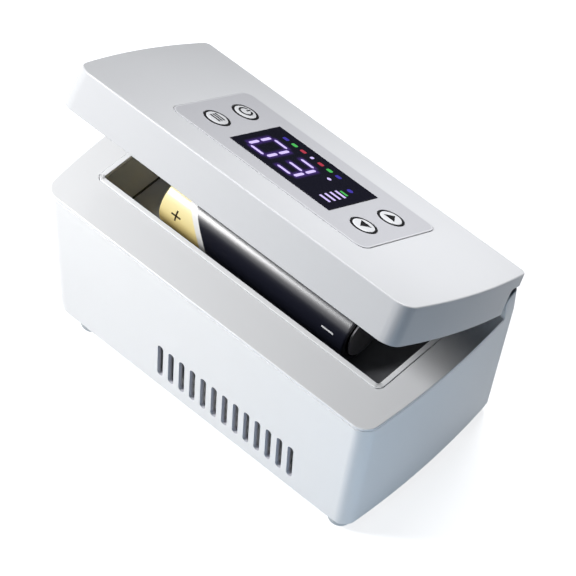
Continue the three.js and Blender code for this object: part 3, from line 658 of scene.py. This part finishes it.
def raised(bm, low, high):
    """Raises a flat form from one height to another."""
    return swept(moved(bm, z=low), z=high - low)


def round_corners(bm, radius, verts=None, steps=8):
    bmesh.ops.bevel(
        bm, geom=verts or bm.verts[:], offset=radius, affect="VERTICES", segments=steps,
        profile=0.5, material=-1)
    bmesh.ops.remove_doubles(bm, verts=bm.verts[:], dist=TINY)
    return bm


def sheet_of(length, width, corner=0.0, bow=0.0, steps=8, rear=0.0):
    """A flat face round the origin, with round corners and perhaps bowed ends."""
    bm = bmesh.new()
    bmesh.ops.create_grid(bm, x_segments=1, y_segments=1, size=0.5)
    bmesh.ops.scale(bm, vec=(length - 2 * bow, width, 1), verts=bm.verts[:])
    if corner:
        round_corners(bm, corner, [v for v in bm.verts if v.co.y < 0], steps)
        round_corners(bm, rear or corner, [v for v in bm.verts if v.co.y > width / 3], steps)
    if bow:
        ends = [e for e in bm.edges if e.calc_length() > width / 2
                and abs(e.verts[0].co.x - e.verts[1].co.x) < TINY]
        bmesh.ops.subdivide_edges(bm, edges=ends, cuts=3 * steps)
        for v in bm.verts:
            v.co.x += math.copysign(bow * (1 - (2 * v.co.y / width) ** 2), v.co.x)
    return bm


def plate(length, width, low, high, corner=0.0, x=0.0, y=0.0):
    """A plate with round corners."""
    return moved(raised(sheet_of(length, width, corner), low, high), x, y)


def plate_over(box, grow, low, high, corner=0.0):
    """A plate of a box's outline, grown all round, with round corners."""
    size, middle = box[1] - box[0], (box[0] + box[1]) / 2
    return plate(size.x + 2 * grow, size.y + 2 * grow, low, high, corner, y=middle.y)


def hoop(length, width, corner, band, low, high):
    """A closed band with round corners, from its outer size."""
    ring = sheet_of(length, width, corner)
    bmesh.ops.inset_individual(ring, faces=[largest(ring)], thickness=band,
                               use_even_offset=True)
    bmesh.ops.delete(ring, geom=[largest(ring)], context="FACES_ONLY")
    return raised(ring, low, high)


def largest(bm):
    return max(bm.faces, key=lambda face: face.calc_area())


def outline(inset, low, high, wide, narrow, end_lean, side_lean=0.0):
    """The case's outline from one height to another, drawing in towards the narrow height."""
    bm = sheet_of(2 * (HALF_LENGTH - inset), 2 * (HALF_WIDTH - inset), CORNER - inset, END_BOW,
                  rear=REAR_CORNER - inset)
    raised(bm, low, high)
    if low < wide < high:
        everything = bm.verts[:] + bm.edges[:] + bm.faces[:]
        bmesh.ops.bisect_plane(bm, geom=everything, plane_co=(0, 0, wide), plane_no=(0, 0, 1))
    for v in bm.verts:
        share = max((v.co.z - wide) / (narrow - wide), 0)
        v.co.x *= 1 - share * end_lean / HALF_LENGTH
        v.co.y *= 1 - share * side_lean / HALF_WIDTH
    return bm


def base_form(inset, low, high):
    return outline(inset, low, high, DECK_TOP, 0.0, END_LEAN)


def lid_form(inset, low, high):
    return outline(inset, low, high, LID_BOTTOM, LID_TOP, LID_LEAN, LID_LEAN)


def round_edges(bm, edges, radius, steps=3):
    if edges:
        bmesh.ops.bevel(
            bm, geom=edges, offset=radius, affect="EDGES", segments=steps, profile=0.5,
            material=-1)


def round_rim(bm, height, radius, steps=3):
    """Rounds the edges that lie at one height."""
    rim = [e for e in bm.edges if all(abs(v.co.z - height) < TINY for v in e.verts)]
    round_edges(bm, rim, radius, steps)


def run_along_x(points, low, high, rounds):
    """A flat form in Y and Z with some of its corners rounded, run along X."""
    bm = bmesh.new()
    corners = [bm.verts.new((low, y, z)) for y, z in points]
    bm.faces.new(corners)
    for index, radius in rounds:
        round_corners(bm, radius, [corners[index]])
    return swept(bm, x=high - low)


def lathe(points, steps=48):
    """A closed round form about Z from radius and height, bottom to top."""
    bm = bmesh.new()
    line = [bm.verts.new((radius, 0, height)) for radius, height in points]
    edges = [bm.edges.new(pair) for pair in zip(line, line[1:])]
    bmesh.ops.spin(
        bm, geom=line + edges, cent=(0, 0, 0), axis=(0, 0, 1), angle=4 * QUARTER, steps=steps,
        use_merge=True)
    bmesh.ops.remove_doubles(bm, verts=bm.verts[:], dist=TINY)
    bmesh.ops.recalc_face_normals(bm, faces=bm.faces[:])
    return bm


def rounded(radius, height, round_radius, sign, steps=5):
    """Points of a quarter round at an outer corner; sign 1 is at a top, -1 at a bottom."""
    arc = [i * QUARTER / steps for i in range(steps + 1)]
    points = [(radius - round_radius * (1 - math.cos(a)),
               height - sign * round_radius * (1 - math.sin(a))) for a in arc]
    return points if sign > 0 else points[::-1]


def pillar(radius, low, high, x=0.0, y=0.0, steps=32):
    return moved(lathe([(0, low), (radius, low), (radius, high), (0, high)], steps), x, y)


def lay_along_x(bm, x=0.0, y=0.0, z=0.0):
    """Turns a form that stands on Z so that it points along +X."""
    return turned(bm, Matrix.Translation((x, y, z)) @ Matrix.Rotation(QUARTER, 4, "Y"))


def marked(bm, index):
    """Gives a form's faces the finish of that number."""
    for face in bm.faces:
        face.material_index = index
    return bm


def hump_room(low, grow, corner):
    """The room round the hinge hump, open to the rear."""
    front, rear, top = HUMP_FRONT - grow, HALF_WIDTH + SPARE, HUMP_TOP + grow
    side_view = [(front, low), (rear, low), (rear, top), (front, top)]
    # Its faces take the lid's second finish, near-black painted shade for the shade inside the
    # notch
    return marked(run_along_x(side_view, -BEYOND, BEYOND, [(3, corner)]), 1)


def button_bores(low, high, steps):
    """The holes for the four push buttons."""
    return gather(*[pillar(BUTTON_RADIUS + SEAM, low, high, *((box[0] + box[1]) / 2)[:2], steps)
                    for box in BUTTONS.values()])


class CASE_OT_base_shell(bpy.types.Operator):
    """Base shell with its vents and the hump that carries the hinge"""

    bl_idname = "cooling_case.base_shell"
    bl_label = "Base shell"

    def execute(self, context):
        front = -HALF_WIDTH - SPARE
        side_view = run_along_x(
            [(front, SHELL_BOTTOM), (HALF_WIDTH, SHELL_BOTTOM), (HALF_WIDTH, HUMP_TOP),
             (HUMP_FRONT, HUMP_TOP), (HUMP_FRONT, SHELL_TOP), (front, SHELL_TOP)],
            -BEYOND, BEYOND, [(3, HUMP_ROUND), (2, HUMP_REAR_ROUND)])
        form = base_form(0, SHELL_BOTTOM, HUMP_TOP + SPARE)
        round_rim(form, SHELL_BOTTOM, sizes().shell_edge)
        form = combine(form, "INTERSECT", [side_view])
        keep = plate(2 * HALF_LENGTH, HUMP_DEPTH, HUMP_FOOT, HUMP_TOP, y=HUMP_Y)
        room = cut(base_form(WALL, SHELL_BOTTOM - SPARE, SHELL_TOP + SPARE), keep)
        gaps = [plate(LUG_LENGTH + 2 * SEAM, 4 * LUG_RADIUS,
                      HINGE_POINT.z - LUG_RADIUS - HUMP_GAP, HUMP_TOP + SPARE, x=x,
                      y=HINGE_POINT.y + LUG_RADIUS - HUMP_GAP) for x in (-HINGE_X, HINGE_X)]
        mouth = lay_along_x(pillar(*JACK_HOLE), -BEYOND, 0, JACK_Z)
        form = cut(form, room, self.vents(), *gaps, mouth)
        ends = [e for e in form.edges if len(e.link_faces) == 2
                and min(v.co.z for v in e.verts) > DECK_TOP
                and min(abs(v.co.x) for v in e.verts) > HALF_LENGTH * 0.9
                and e.calc_face_angle() > HUMP_EDGE_ANGLE]
        round_edges(form, ends, HUMP_END_ROUND)
        shown("base_housing", form, ["white moulded shell", "shaded vent wall"], "base",
              "white_shell", "base_shell")
        return {"FINISHED"}

    def vents(self):
        """The row of upright slots with round ends in the front wall."""
        slots = []
        for i in range(VENTS):
            slot = round_corners(sheet_of(VENT_WIDTH, VENT_HEIGHT), VENT_WIDTH / 2 - TINY)
            raised(slot, 0, WALL + 2 * SPARE)
            turned(slot, Matrix.Rotation(QUARTER, 4, "X"))
            slots.append(moved(slot, VENT_X + (i - VENTS // 2) * VENT_PITCH,
                               -HALF_WIDTH + WALL + SPARE, VENT_Z))
        # The slot walls take the shell's second finish, grey painted shade
        return marked(gather(*slots), 1)


class CASE_OT_bottom(bpy.types.Operator):
    """Bottom cover with its intake slots, the four feet and the four screws"""

    bl_idname = "cooling_case.bottom"
    bl_label = "Bottom cover, feet and screws"

    def execute(self, context):
        top = SHELL_BOTTOM - SEAM
        cover = base_form(COVER_INSET, 0, top)
        round_rim(cover, 0, COVER_EDGE)
        tools = [plate(*INTAKE_SIZE, -SPARE, top + SPARE, INTAKE_CORNER, INTAKE_X,
                       (i - (INTAKES - 1) / 2) * INTAKE_PITCH)
                 for i in range(INTAKES)]
        for corner in ("front_left", "front_right", "rear_left", "rear_right"):
            tools += [
                self.fastened(self.foot, "foot_pad", "foot", corner, "pale foot rubber",
                              "pale_rubber", FOOT_RECESS),
                self.fastened(self.screw, "cross_screw", "cover_screw", corner,
                              "plated steel", "bare_metal", SCREW_RECESS)]
        shown("bottom_plate", cut(cover, gather(*tools)), ["white moulded shell"],
              "base", "white_shell", "bottom_cover")
        return {"FINISHED"}

    def fastened(self, make, name, node, corner, finish, slot, recess):
        """Adds a foot or screw at one corner, and gives the recess for it."""
        low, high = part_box(f"{node}_{corner}")
        middle, radius = (low + high) / 2, (high.x - low.x) / 2
        form = moved(make(radius, low.z, high.z), middle.x, middle.y)
        shown(f"{name}_{corner}", form, [finish], "base", slot, f"{node}_{corner}")
        return pillar(radius + SEAM, -SPARE, recess, middle.x, middle.y)

    def foot(self, radius, low, high):
        return lathe([(0, low), *rounded(radius - FOOT_TAPER, low, FOOT_EDGE, -1),
                      (radius, high), (0, high)])

    def screw(self, radius, low, high):
        """A cross-head screw, head down."""
        neck = low + SCREW_HEAD
        screw = lathe([(0, low), *rounded(radius, low, SCREW_EDGE, -1), (radius, neck),
                       (SCREW_RADIUS, neck), (SCREW_RADIUS, high), (0, high)], 32)
        return cut(screw, *[plate(*size, low - SPARE, low + CROSS_DEPTH)
                            for size in (CROSS, CROSS[::-1])])


class CASE_OT_deck(bpy.types.Operator):
    """Deck plate and the frame round the chamber's mouth"""

    bl_idname = "cooling_case.deck"
    bl_label = "Deck and frame"

    def execute(self, context):
        below, above = DECK_UNDER - SPARE, DECK_TOP + SPARE
        deck = base_form(0, DECK_UNDER, DECK_TOP)
        round_rim(deck, DECK_TOP, sizes().deck_edge)
        round_rim(deck, DECK_UNDER, 0.2 * MM)
        corner, band = MOUTH_CORNER + FRAME_BAND, 2 * (FRAME_BAND + SEAM)
        mouth = plate(MOUTH_LENGTH + band, MOUTH_WIDTH + band, below, above, corner)
        rear = plate(2 * HALF_LENGTH + SPARE, 4 * SPARE + HUMP_DEPTH, below, above,
                     y=HUMP_Y + 2 * SPARE - SEAM)
        shown("deck", cut(deck, mouth, rear), ["pale deck plastic"], "base",
              "pale_deck", "deck_plate")
        low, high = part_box("well_frame")
        ring = hoop(MOUTH_LENGTH + 2 * FRAME_BAND, MOUTH_WIDTH + 2 * FRAME_BAND, corner,
                    FRAME_BAND, low.z, high.z)
        round_rim(ring, high.z, sizes().trim_edge)
        shown("mouth_frame", ring, ["white trim plastic"], "base", "white_trim", "well_frame")
        return {"FINISHED"}


class CASE_OT_tray(bpy.types.Operator):
    """Dark chamber tray with the two cradles for the battery"""

    bl_idname = "cooling_case.tray"
    bl_label = "Chamber tray"

    def execute(self, context):
        top = TRAY_HIGH.z
        bowl = self.wider(TRAY_WALL, TRAY_LOW.z, top)
        flange = self.wider(FLANGE_BAND, top - FLANGE_THICKNESS, top)
        room = self.wider(0, TRAY_FLOOR, top + SPARE)
        round_rim(room, TRAY_FLOOR, TRAY_ROUND)
        cradles = [self.cradle(BATTERY_AXIS.x + x) for x in (-CRADLE_X, CRADLE_X)]
        bowl = join(cut(join(bowl, flange), room), *cradles)
        shown("tray", bowl, ["dark satin tray"], "base", "dark_tray", "chamber_tray")
        return {"FINISHED"}

    def wider(self, band, low, high):
        """The chamber's outline with a band round it, from one height to another."""
        return plate(MOUTH_LENGTH + 2 * band, MOUTH_WIDTH + 2 * band, low, high,
                     MOUTH_CORNER + band)

    def cradle(self, x):
        """A saddle across the floor, hollowed for the battery."""
        top = TRAY_FLOOR + CRADLE_HEIGHT
        block = plate(CRADLE_THICKNESS, CRADLE_WIDTH, TRAY_FLOOR - TRAY_WALL / 2, top,
                      CRADLE_CORNER, x)
        round_rim(block, top, CRADLE_EDGE)
        bed = pillar(BATTERY_RADIUS + SEAM, -CRADLE_THICKNESS, CRADLE_THICKNESS, steps=96)
        return cut(block, lay_along_x(bed, x, 0, BATTERY_AXIS.z))


class CASE_OT_battery(bpy.types.Operator):
    """Battery in the chamber: sleeve, signs and the contacts at its ends"""

    bl_idname = "cooling_case.battery"
    bl_label = "Battery"

    def execute(self, context):
        length = BATTERY_HIGH.x - BATTERY_LOW.x
        fold = [(BATTERY_RADIUS - inward, depth) for inward, depth in SLEEVE_FOLD]
        half = [(0, fold[0][1]), *fold]
        body = lathe([*half, *rounded(BATTERY_RADIUS, 0, SLEEVE_EDGE, -1)[1:],
                      *rounded(BATTERY_RADIUS, length, SLEEVE_EDGE, 1),
                      *[(radius, length - depth) for radius, depth in half[::-1]]], 96)
        self.laid("battery_sleeve", body, "battery sleeve", "black_jacket", "battery_body")
        low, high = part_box("battery_positive_cap")
        reach = high.x - low.x
        cap = lathe([(0, 0), *rounded(CAP_NECK, 0, CAP_SEAT, -1)[1:],
                     (CAP_NECK + 0.1 * MM, CAP_STEP - 0.1 * MM),
                     *rounded(CAP_RADIUS, CAP_STEP, CAP_EDGE, -1), (CAP_RADIUS, reach),
                     (0, reach)])
        self.laid("positive_contact", cap, "battery contact", "bare_metal",
                  "battery_positive_cap")
        low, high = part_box("battery_negative_plate")
        thick, radius = high.x - low.x, (high.y - low.y) / 2
        disc = lathe([(0, 0), (radius, 0), *rounded(radius, thick, DISH_EDGE, 1),
                      (radius - DISH_RIM, thick), (radius - DISH_WIDTH, thick * DISH_SHARE),
                      (0, thick * DISH_SHARE)])
        self.laid("negative_contact", disc, "battery contact", "bare_metal",
                  "battery_negative_plate")
        return {"FINISHED"}

    def laid(self, name, form, finish, slot, node):
        """Lays a round form along the battery's axis, at its node's left end."""
        lay_along_x(form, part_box(node)[0].x, BATTERY_AXIS.y, BATTERY_AXIS.z)
        shown(name, form, [finish], "base", slot, node)


class CASE_OT_socket(bpy.types.Operator):
    """Power socket in the left end wall"""

    bl_idname = "cooling_case.socket"
    bl_label = "Power socket"

    def execute(self, context):
        mouth = lathe([(0, JACK_DEPTH), (JACK_BORE, JACK_DEPTH), (JACK_BORE, 0.5 * MM),
                       (JACK_BORE + JACK_EDGE, 0), *rounded(JACK_RADIUS, 0, JACK_EDGE, -1),
                       (JACK_RADIUS, JACK_NOSE), (0, JACK_NOSE)])
        body = raised(sheet_of(JACK_HIGH.x - JACK_BLOCK_X, JACK_BLOCK_WIDTH, 0.5 * MM),
                      JACK_LOW.z, JACK_HIGH.z)
        round_rim(body, JACK_HIGH.z, JACK_EDGE)
        moved(body, (JACK_HIGH.x + JACK_BLOCK_X) / 2)
        bore = pillar(JACK_BORE, 0.6 * MM, JACK_DEPTH)
        mouth, bore, pin = (lay_along_x(form, JACK_LOW.x, 0, JACK_Z)
                            for form in (mouth, bore, lathe(JACK_PIN, 24)))
        body = cut(join(body, mouth), bore)
        shown("socket", body, ["black moulded plastic"], "base", "black_plastic", "power_jack")
        shown("socket_pin", pin, ["plated steel"], "base", "bare_metal")
        return {"FINISHED"}


class CASE_OT_lid_shell(bpy.types.Operator):
    """Lid shell with the notch for the hump, the hinge lugs and the panel's recess"""

    bl_idname = "cooling_case.lid_shell"
    bl_label = "Lid shell"

    def execute(self, context):
        form = lid_form(0, LID_BOTTOM, LID_TOP)
        round_rim(form, LID_TOP, sizes().lid_edge, 4)
        round_rim(form, LID_BOTTOM, LID_LOWER_EDGE)
        notch = hump_room(LID_BOTTOM - SPARE, NOTCH_GAP, HUMP_ROUND / 2)
        skin = hump_room(LID_BOTTOM - 2 * SPARE, NOTCH_GAP + WALL, HUMP_ROUND)
        room = cut(lid_form(WALL, LID_BOTTOM - SPARE, LID_CEILING), skin)
        lugs = [self.lug(x) for x in (-HINGE_X, HINGE_X)]
        form = join(cut(form, room, notch), *lugs)
        bed = plate_over(PANEL, SEAM, PANEL_LOW.z - SEAM, LID_TOP + SPARE, PANEL_CORNER + SEAM)
        mouth = plate_over(WINDOW, -WINDOW_LEDGE, LID_CEILING - SPARE, LID_TOP)
        bores = button_bores(LID_CEILING - SPARE, LID_TOP + SPARE, 48)
        # The notch's walls take the near-black painted shade finish
        shown("lid_housing", cut(form, bed, mouth, bores),
              ["white moulded lid", "shaded notch wall"], "lid", "white_shell", "lid_shell")
        return {"FINISHED"}

    def lug(self, x):
        """A lug that reaches down from the lid to the hinge pin."""
        y, z = HINGE_POINT.y, HINGE_POINT.z
        front, rear, foot = y - LUG_RADIUS, y + LUG_RADIUS, z - LUG_RADIUS
        top = HUMP_TOP + HUMP_GAP + WALL / 2
        bar = run_along_x(
            [(front, top), (front, foot), (rear, foot), (rear, top)],
            x - LUG_LENGTH / 2, x + LUG_LENGTH / 2,
            [(1, LUG_RADIUS - TINY), (2, LUG_RADIUS - TINY)])
        bore = lay_along_x(pillar(PIN_BORE, -LUG_LENGTH, LUG_LENGTH), x, y, z)
        return cut(bar, bore)


class CASE_OT_lid_underside(bpy.types.Operator):
    """Dark liner and seal on the underside of the lid"""

    bl_idname = "cooling_case.lid_underside"
    bl_label = "Lid liner and seal"

    def execute(self, context):
        low, high = shut_box("lid_liner")
        sheet = lid_form(WALL + SEAM, low.z, high.z)
        round_rim(sheet, low.z, LINER_EDGE)
        rear = plate(2 * HALF_LENGTH, 2 * (HALF_WIDTH - high.y), low.z - SPARE, high.z + SPARE,
                     y=HALF_WIDTH)
        pad = plate(*LINER_PAD, low.z - SPARE, low.z + LINER_RECESS, LINER_PAD_CORNER)
        shown("lid_lining", cut(sheet, rear, pad), ["near-black liner"], "lid",
              "dark_liner", "lid_liner")
        low, high = shut_box("lid_gasket")
        seal = hoop(high.x - low.x, high.y - low.y, SEAL_CORNER, SEAL_BAND, low.z, high.z)
        round_rim(seal, low.z, SEAL_EDGE, 4)
        shown("lid_seal", seal, ["black seal rubber"], "lid", "dark_rubber", "lid_gasket")
        return {"FINISHED"}


class CASE_OT_panel(bpy.types.Operator):
    """Silver-grey control panel let into the lid"""

    bl_idname = "cooling_case.panel"
    bl_label = "Control panel"

    def execute(self, context):
        below, above = PANEL_LOW.z - SPARE, PANEL_HIGH.z + SPARE
        sheet = plate_over(PANEL, 0, PANEL_LOW.z, PANEL_HIGH.z, PANEL_CORNER)
        round_rim(sheet, PANEL_HIGH.z, sizes().trim_edge)
        hole = plate_over(WINDOW, SEAM, below, above, HOLE_CORNER)
        shown("panel_sheet", cut(sheet, hole, button_bores(below, above, 64)),
              ["silver panel film"], "lid", "silver_panel", "control_panel")
        return {"FINISHED"}


# Small marks in millimetres, a row along the window's far side and level bars on its right:
# length, width, x, y, corner, steps of the corner, and which light
LIGHTS = ("digit light", "blue light", "green light", "red light")
LIT_HEIGHTS = (WINDOW_HIGH.z - 0.02 * MM, WINDOW_HIGH.z + 0.03 * MM)
MARKS = (
    *((3.0 if light else 1.6, 2.4, -20.2 + 5.2 * i, 13.4, 0.7, 4, light)
      for i, light in enumerate((1, 2, 3, 0, 3, 2, 1))),
    *((5.9, 1.5, 21.7, y, 0, 1, 0) for y in (-11.4, -7.4, -3.4, 0.6)),
    (4.1, 1.5, 21.7, 3.4, 0, 1, 2),
    (2.2, 2.2, 10.8, 6.4, 0.8, 1, 0),
)


class CASE_OT_display(bpy.types.Operator):
    """Black display window with its digits and signs"""

    bl_idname = "cooling_case.display"
    bl_label = "Display"

    def execute(self, context):
        glass = plate_over(WINDOW, 0, WINDOW_LOW.z, WINDOW_HIGH.z, WINDOW_CORNER)
        round_rim(glass, WINDOW_HIGH.z, WINDOW_EDGE)
        shown("window_glass", glass, ["black window"], "lid", "black_glass", "display_window")
        digits = [self.mark(2 * reach[0], 2 * reach[1], *centre, STROKE_POINT, 1)
                  for centre, reach in lit_strokes()]
        shown("display_digits", gather(*digits), LIGHTS[:1], "lid", "black_glass")
        marks = [self.mark(*(size * MM for size in sizes_and_place), steps, light)
                 for *sizes_and_place, steps, light in MARKS]
        dot = pillar(1.5 * MM, *LIT_HEIGHTS, 21.2 * MM, 8.9 * MM, 24)
        shown("display_signs", gather(*marks, marked(dot, LIGHTS.index("blue light"))), LIGHTS,
              "lid", "black_glass")
        return {"FINISHED"}

    def mark(self, length, width, x, y, corner, steps, light=0):
        """A thin lit mark on the window, with round or pointed corners."""
        sheet = sheet_of(length, width)
        if corner:
            round_corners(sheet, corner, steps=steps)
        return moved(marked(raised(sheet, *LIT_HEIGHTS), light), x, y)


class CASE_OT_buttons(bpy.types.Operator):
    """Four push buttons with their black rings and signs"""

    bl_idname = "cooling_case.buttons"
    bl_label = "Push buttons"

    def execute(self, context):
        signs = {"left_near": self.menu, "left_far": self.power,
                 "right_near": self.lower, "right_far": self.higher}
        for name, (low, high) in BUTTONS.items():
            centre = (low + high) / 2
            sign = marked(gather(*signs[name](high.z)), 1)
            form = gather(self.body(low.z, high.z), sign)
            shown(f"push_button_{name}", moved(form, centre.x, centre.y),
                  ["white moulded lid", "black button print"], f"{name}_button", "white_trim",
                  f"button_{name}")
        return {"FINISHED"}

    def body(self, low, high):
        """Stem, flange, black ring and white crown."""
        ring = BUTTON_RADIUS - sizes().ring_width
        rim = high - sizes().crown
        flange = low + STEM_LENGTH
        top = flange + FLANGE_HEIGHT
        crown = [(ring * math.cos(a), rim + (high - rim) * math.sin(a))
                 for a in (i * QUARTER / 8 for i in range(9))]
        body = lathe([
            (0, low), (STEM_RADIUS, low), (STEM_RADIUS, flange), (FLANGE_RADIUS, flange),
            (FLANGE_RADIUS, top), (BUTTON_RADIUS, top),
            *rounded(BUTTON_RADIUS, rim, 0.2 * MM, 1), (ring + 0.05 * MM, rim), *crown], 64)
        for face in body.faces:
            centre = face.calc_center_median()
            if centre.z > top + 0.1 * MM and math.hypot(centre.x, centre.y) > ring - TINY:
                face.material_index = 1
        return body

    def slip(self, sheet, high):
        """A thin printed sign on the crown."""
        return raised(sheet, high - 0.2 * MM, high + 0.02 * MM)

    def menu(self, high):
        """Three bars."""
        return [moved(self.slip(sheet_of(5.8 * MM, SIGN_WIDTH), high), y=y * MM)
                for y in (-1.75, 0, 1.75)]

    def power(self, high):
        """An open ring and an upright line."""
        disc = bmesh.new()
        bmesh.ops.create_circle(disc, cap_ends=True, segments=48, radius=3.4 * MM)
        hole = pillar(2.5 * MM, high - SPARE, high + SPARE, steps=48)
        gap = plate(2.2 * MM, 4 * MM, high - SPARE, high + SPARE, y=3 * MM)
        line = self.slip(sheet_of(SIGN_WIDTH, 3 * MM), high)
        return [cut(self.slip(disc, high), hole, gap), moved(line, y=2 * MM)]

    def lower(self, high, sign=-1):
        """A triangle that points to the lid's near side, or with sign 1 to its far side."""
        bm = bmesh.new()
        corners = ((-3 * MM, -1.9 * MM), (3 * MM, -1.9 * MM), (0, 3.1 * MM))
        bm.faces.new([bm.verts.new((x, y * sign, 0)) for x, y in corners])
        return [self.slip(bm, high)]

    def higher(self, high):
        return self.lower(high, 1)


# What lies inside the case keeps its solids, and only gets a finish
INNER_FINISHES = {
    "milled aluminium": ("cold_plate", "heat_sink"),
    "plated steel": ("hinge_pin_left", "hinge_pin_right", "strike_plate_left",
                     "strike_plate_right", "lid_magnet_left", "lid_magnet_right"),
    "black moulded plastic": ("fan_frame", "fan_rotor", "temperature_sensor", "display_module",
                              *(f"key_switch_{name}" for name in BUTTONS)),
    "coated circuit board": ("control_board", "lid_board"),
    "insulation foam": ("chamber_insulation", "lid_insulation"),
    "fired ceramic": ("thermoelectric_module",),
}


class CASE_OT_inner_parts(bpy.types.Operator):
    """Finishes of the cooling stack, boards, foam, pins and catches"""

    bl_idname = "cooling_case.inner_parts"
    bl_label = "Inner parts"

    def execute(self, context):
        for finish, nodes in INNER_FINISHES.items():
            for node in nodes:
                materials = frame["nodes"][node].data.materials
                materials.clear()
                materials.append(finish_of(finish))
        return {"FINISHED"}


# Each lamp's place, width and colour
LAMPS = {
    "key": ((-0.35, -0.31, 0.47), 0.2, (1.0, 0.99, 0.97)),
    "front": ((-0.38, -0.42, 0.7), 0.16, (0.96, 0.98, 1.0)),
    "low": ((0.25, -0.9, 0.15), 0.24, (1.0, 1.0, 1.0)),
    "top": ((0.06, 0.13, 0.3), 0.08, (1.0, 1.0, 1.0)),
    "side": ((0.3, -0.17, 0.04), 0.08, (0.42, 0.71, 1.0)),
}
LAMP_AIM = Vector((0, 0, 0.06))
FLOOR_SIZE, FLOOR_Z = 6.0, -3.55 * MM
FLOOR_GLOW = (0.8, 0.8, 0.8)

# The camera of the photograph: its turn from the front, its rise and its roll, and its lens
CAMERA_TURN, CAMERA_RISE, CAMERA_ROLL = (math.radians(a) for a in (39.92, 51.21, 3.84))
CAMERA_AIM, CAMERA_DISTANCE = (0, 0, 0.05), 1.54814
CAMERA_LENS = {"sensor_width": 36.0, "lens": 215.6, "shift_x": 0.0218, "shift_y": -0.002,
               "clip_start": 0.05, "clip_end": 20.0}


class CASE_OT_stage(bpy.types.Operator):
    """Pale floor, lamps and the camera of the photograph"""

    bl_idname = "cooling_case.stage"
    bl_label = "Stage"

    def execute(self, context):
        scene = context.scene
        scene.view_settings.view_transform = "Standard"
        self.floor()
        self.world(scene)
        for name, settings in LAMPS.items():
            self.lamp(name, getattr(scene.case_studio, f"{name}_power"), *settings)
        self.card()
        self.camera(scene)
        return {"FINISHED"}

    def floor(self):
        """A pale floor that shows white and keeps the case's shadow."""
        bm = bmesh.new()
        bmesh.ops.create_grid(bm, x_segments=1, y_segments=1, size=FLOOR_SIZE)
        material = bpy.data.materials.new("pale floor")
        finish = Finish(material)
        dust = finish.noise(finish.place(), 6.0)
        glow = finish.blend(self.seen(finish), (0.0, 0.0, 0.0), FLOOR_GLOW)
        tint = finish.blend(dust, (0.48, 0.5, 0.53), (0.51, 0.53, 0.56))
        finish.surface(tint, 0.8, emission_color=glow, emission_strength=1.0)
        placed("floor", moved(bm, z=FLOOR_Z), [material])

    def seen(self, finish):
        """1 for rays that show the background: straight, mirrored or through glass."""
        rays = [finish.node("LightPath", output=name) for name in (
            "Is Camera Ray", "Is Glossy Ray", "Is Transmission Ray")]
        return (rays[0] + rays[1] + rays[2]).least(1.0)

    def world(self, scene):
        """White where it is seen, and nearly dark as a light."""
        scene.world = bpy.data.worlds.new("studio")
        finish = Finish(scene.world)
        tint = finish.blend(self.seen(finish), scene.case_studio.sky, (1.0, 1.0, 1.0))
        shader = finish.node("Background", {}, {"Color": tint, "Strength": 1.0})
        finish.node("OutputWorld", {}, {"Surface": shader})

    def lamp(self, name, power, place, width, colour):
        """A round soft lamp that points at the case."""
        light = bpy.data.lights.new(name, "AREA")
        light.shape = "DISK"
        light.size = width
        light.energy = power
        light.color = colour
        made = linked(name, light)
        made.location = place
        made.rotation_euler = (LAMP_AIM - Vector(place)).to_track_quat("-Z", "Y").to_euler()

    def card(self):
        """A dark card behind the case, which shows only in the gloss of the lid's top."""
        card = placed("dark_card", plate(0.42, 0.01, 0, 0.34, x=-0.37, y=0.6),
                      [finish_of("black moulded plastic")])
        for ray in ("camera", "diffuse", "shadow"):
            setattr(card, f"visible_{ray}", False)

    def camera(self, scene):
        """Stands where the photograph was taken from."""
        lens = bpy.data.cameras.new("camera")
        for key, value in CAMERA_LENS.items():
            setattr(lens, key, value)
        scene.camera = linked("camera", lens)
        place = Matrix.Translation(CAMERA_AIM)
        for angle, axis in ((CAMERA_TURN, "Z"), (QUARTER - CAMERA_RISE, "X"), (CAMERA_ROLL, "Z")):
            place @= Matrix.Rotation(angle, 4, axis)
        scene.camera.matrix_world = place @ Matrix.Translation((0, 0, CAMERA_DISTANCE))


OPERATORS = (
    CASE_OT_base_shell, CASE_OT_bottom, CASE_OT_deck, CASE_OT_tray, CASE_OT_battery,
    CASE_OT_socket, CASE_OT_lid_shell, CASE_OT_lid_underside, CASE_OT_panel, CASE_OT_display,
    CASE_OT_buttons, CASE_OT_inner_parts, CASE_OT_stage,
)
GROUPS = {"case_sizes": CaseSizes, "case_colours": CaseColours, "case_display": CaseDisplay,
          "case_studio": CaseStudio}


class CASE_PT_sidebar(bpy.types.Panel):
    """Buttons and settings of the cooling case"""

    bl_idname = "CASE_PT_sidebar"
    bl_label = "Insulin cooling case"
    bl_space_type = "VIEW_3D"
    bl_region_type = "UI"
    bl_category = "Cooling case"

    def draw(self, context):
        for operator in OPERATORS:
            self.layout.operator(operator.bl_idname)
        for name, group in GROUPS.items():
            box = self.layout.box()
            settings = getattr(context.scene, name)
            for key in group.__annotations__:
                box.prop(settings, key)


CLASSES = (*GROUPS.values(), *OPERATORS, CASE_PT_sidebar)


def register():
    for item in CLASSES:
        bpy.utils.register_class(item)
    for name, group in GROUPS.items():
        setattr(bpy.types.Scene, name, bpy.props.PointerProperty(type=group))


def unregister():
    for name in GROUPS:
        delattr(bpy.types.Scene, name)
    for item in reversed(CLASSES):
        bpy.utils.unregister_class(item)


def main():
    register()
    for operator in OPERATORS:
        group, name = operator.bl_idname.split(".")
        getattr(getattr(bpy.ops, group), name)()


if __name__ == "__main__":
    main()
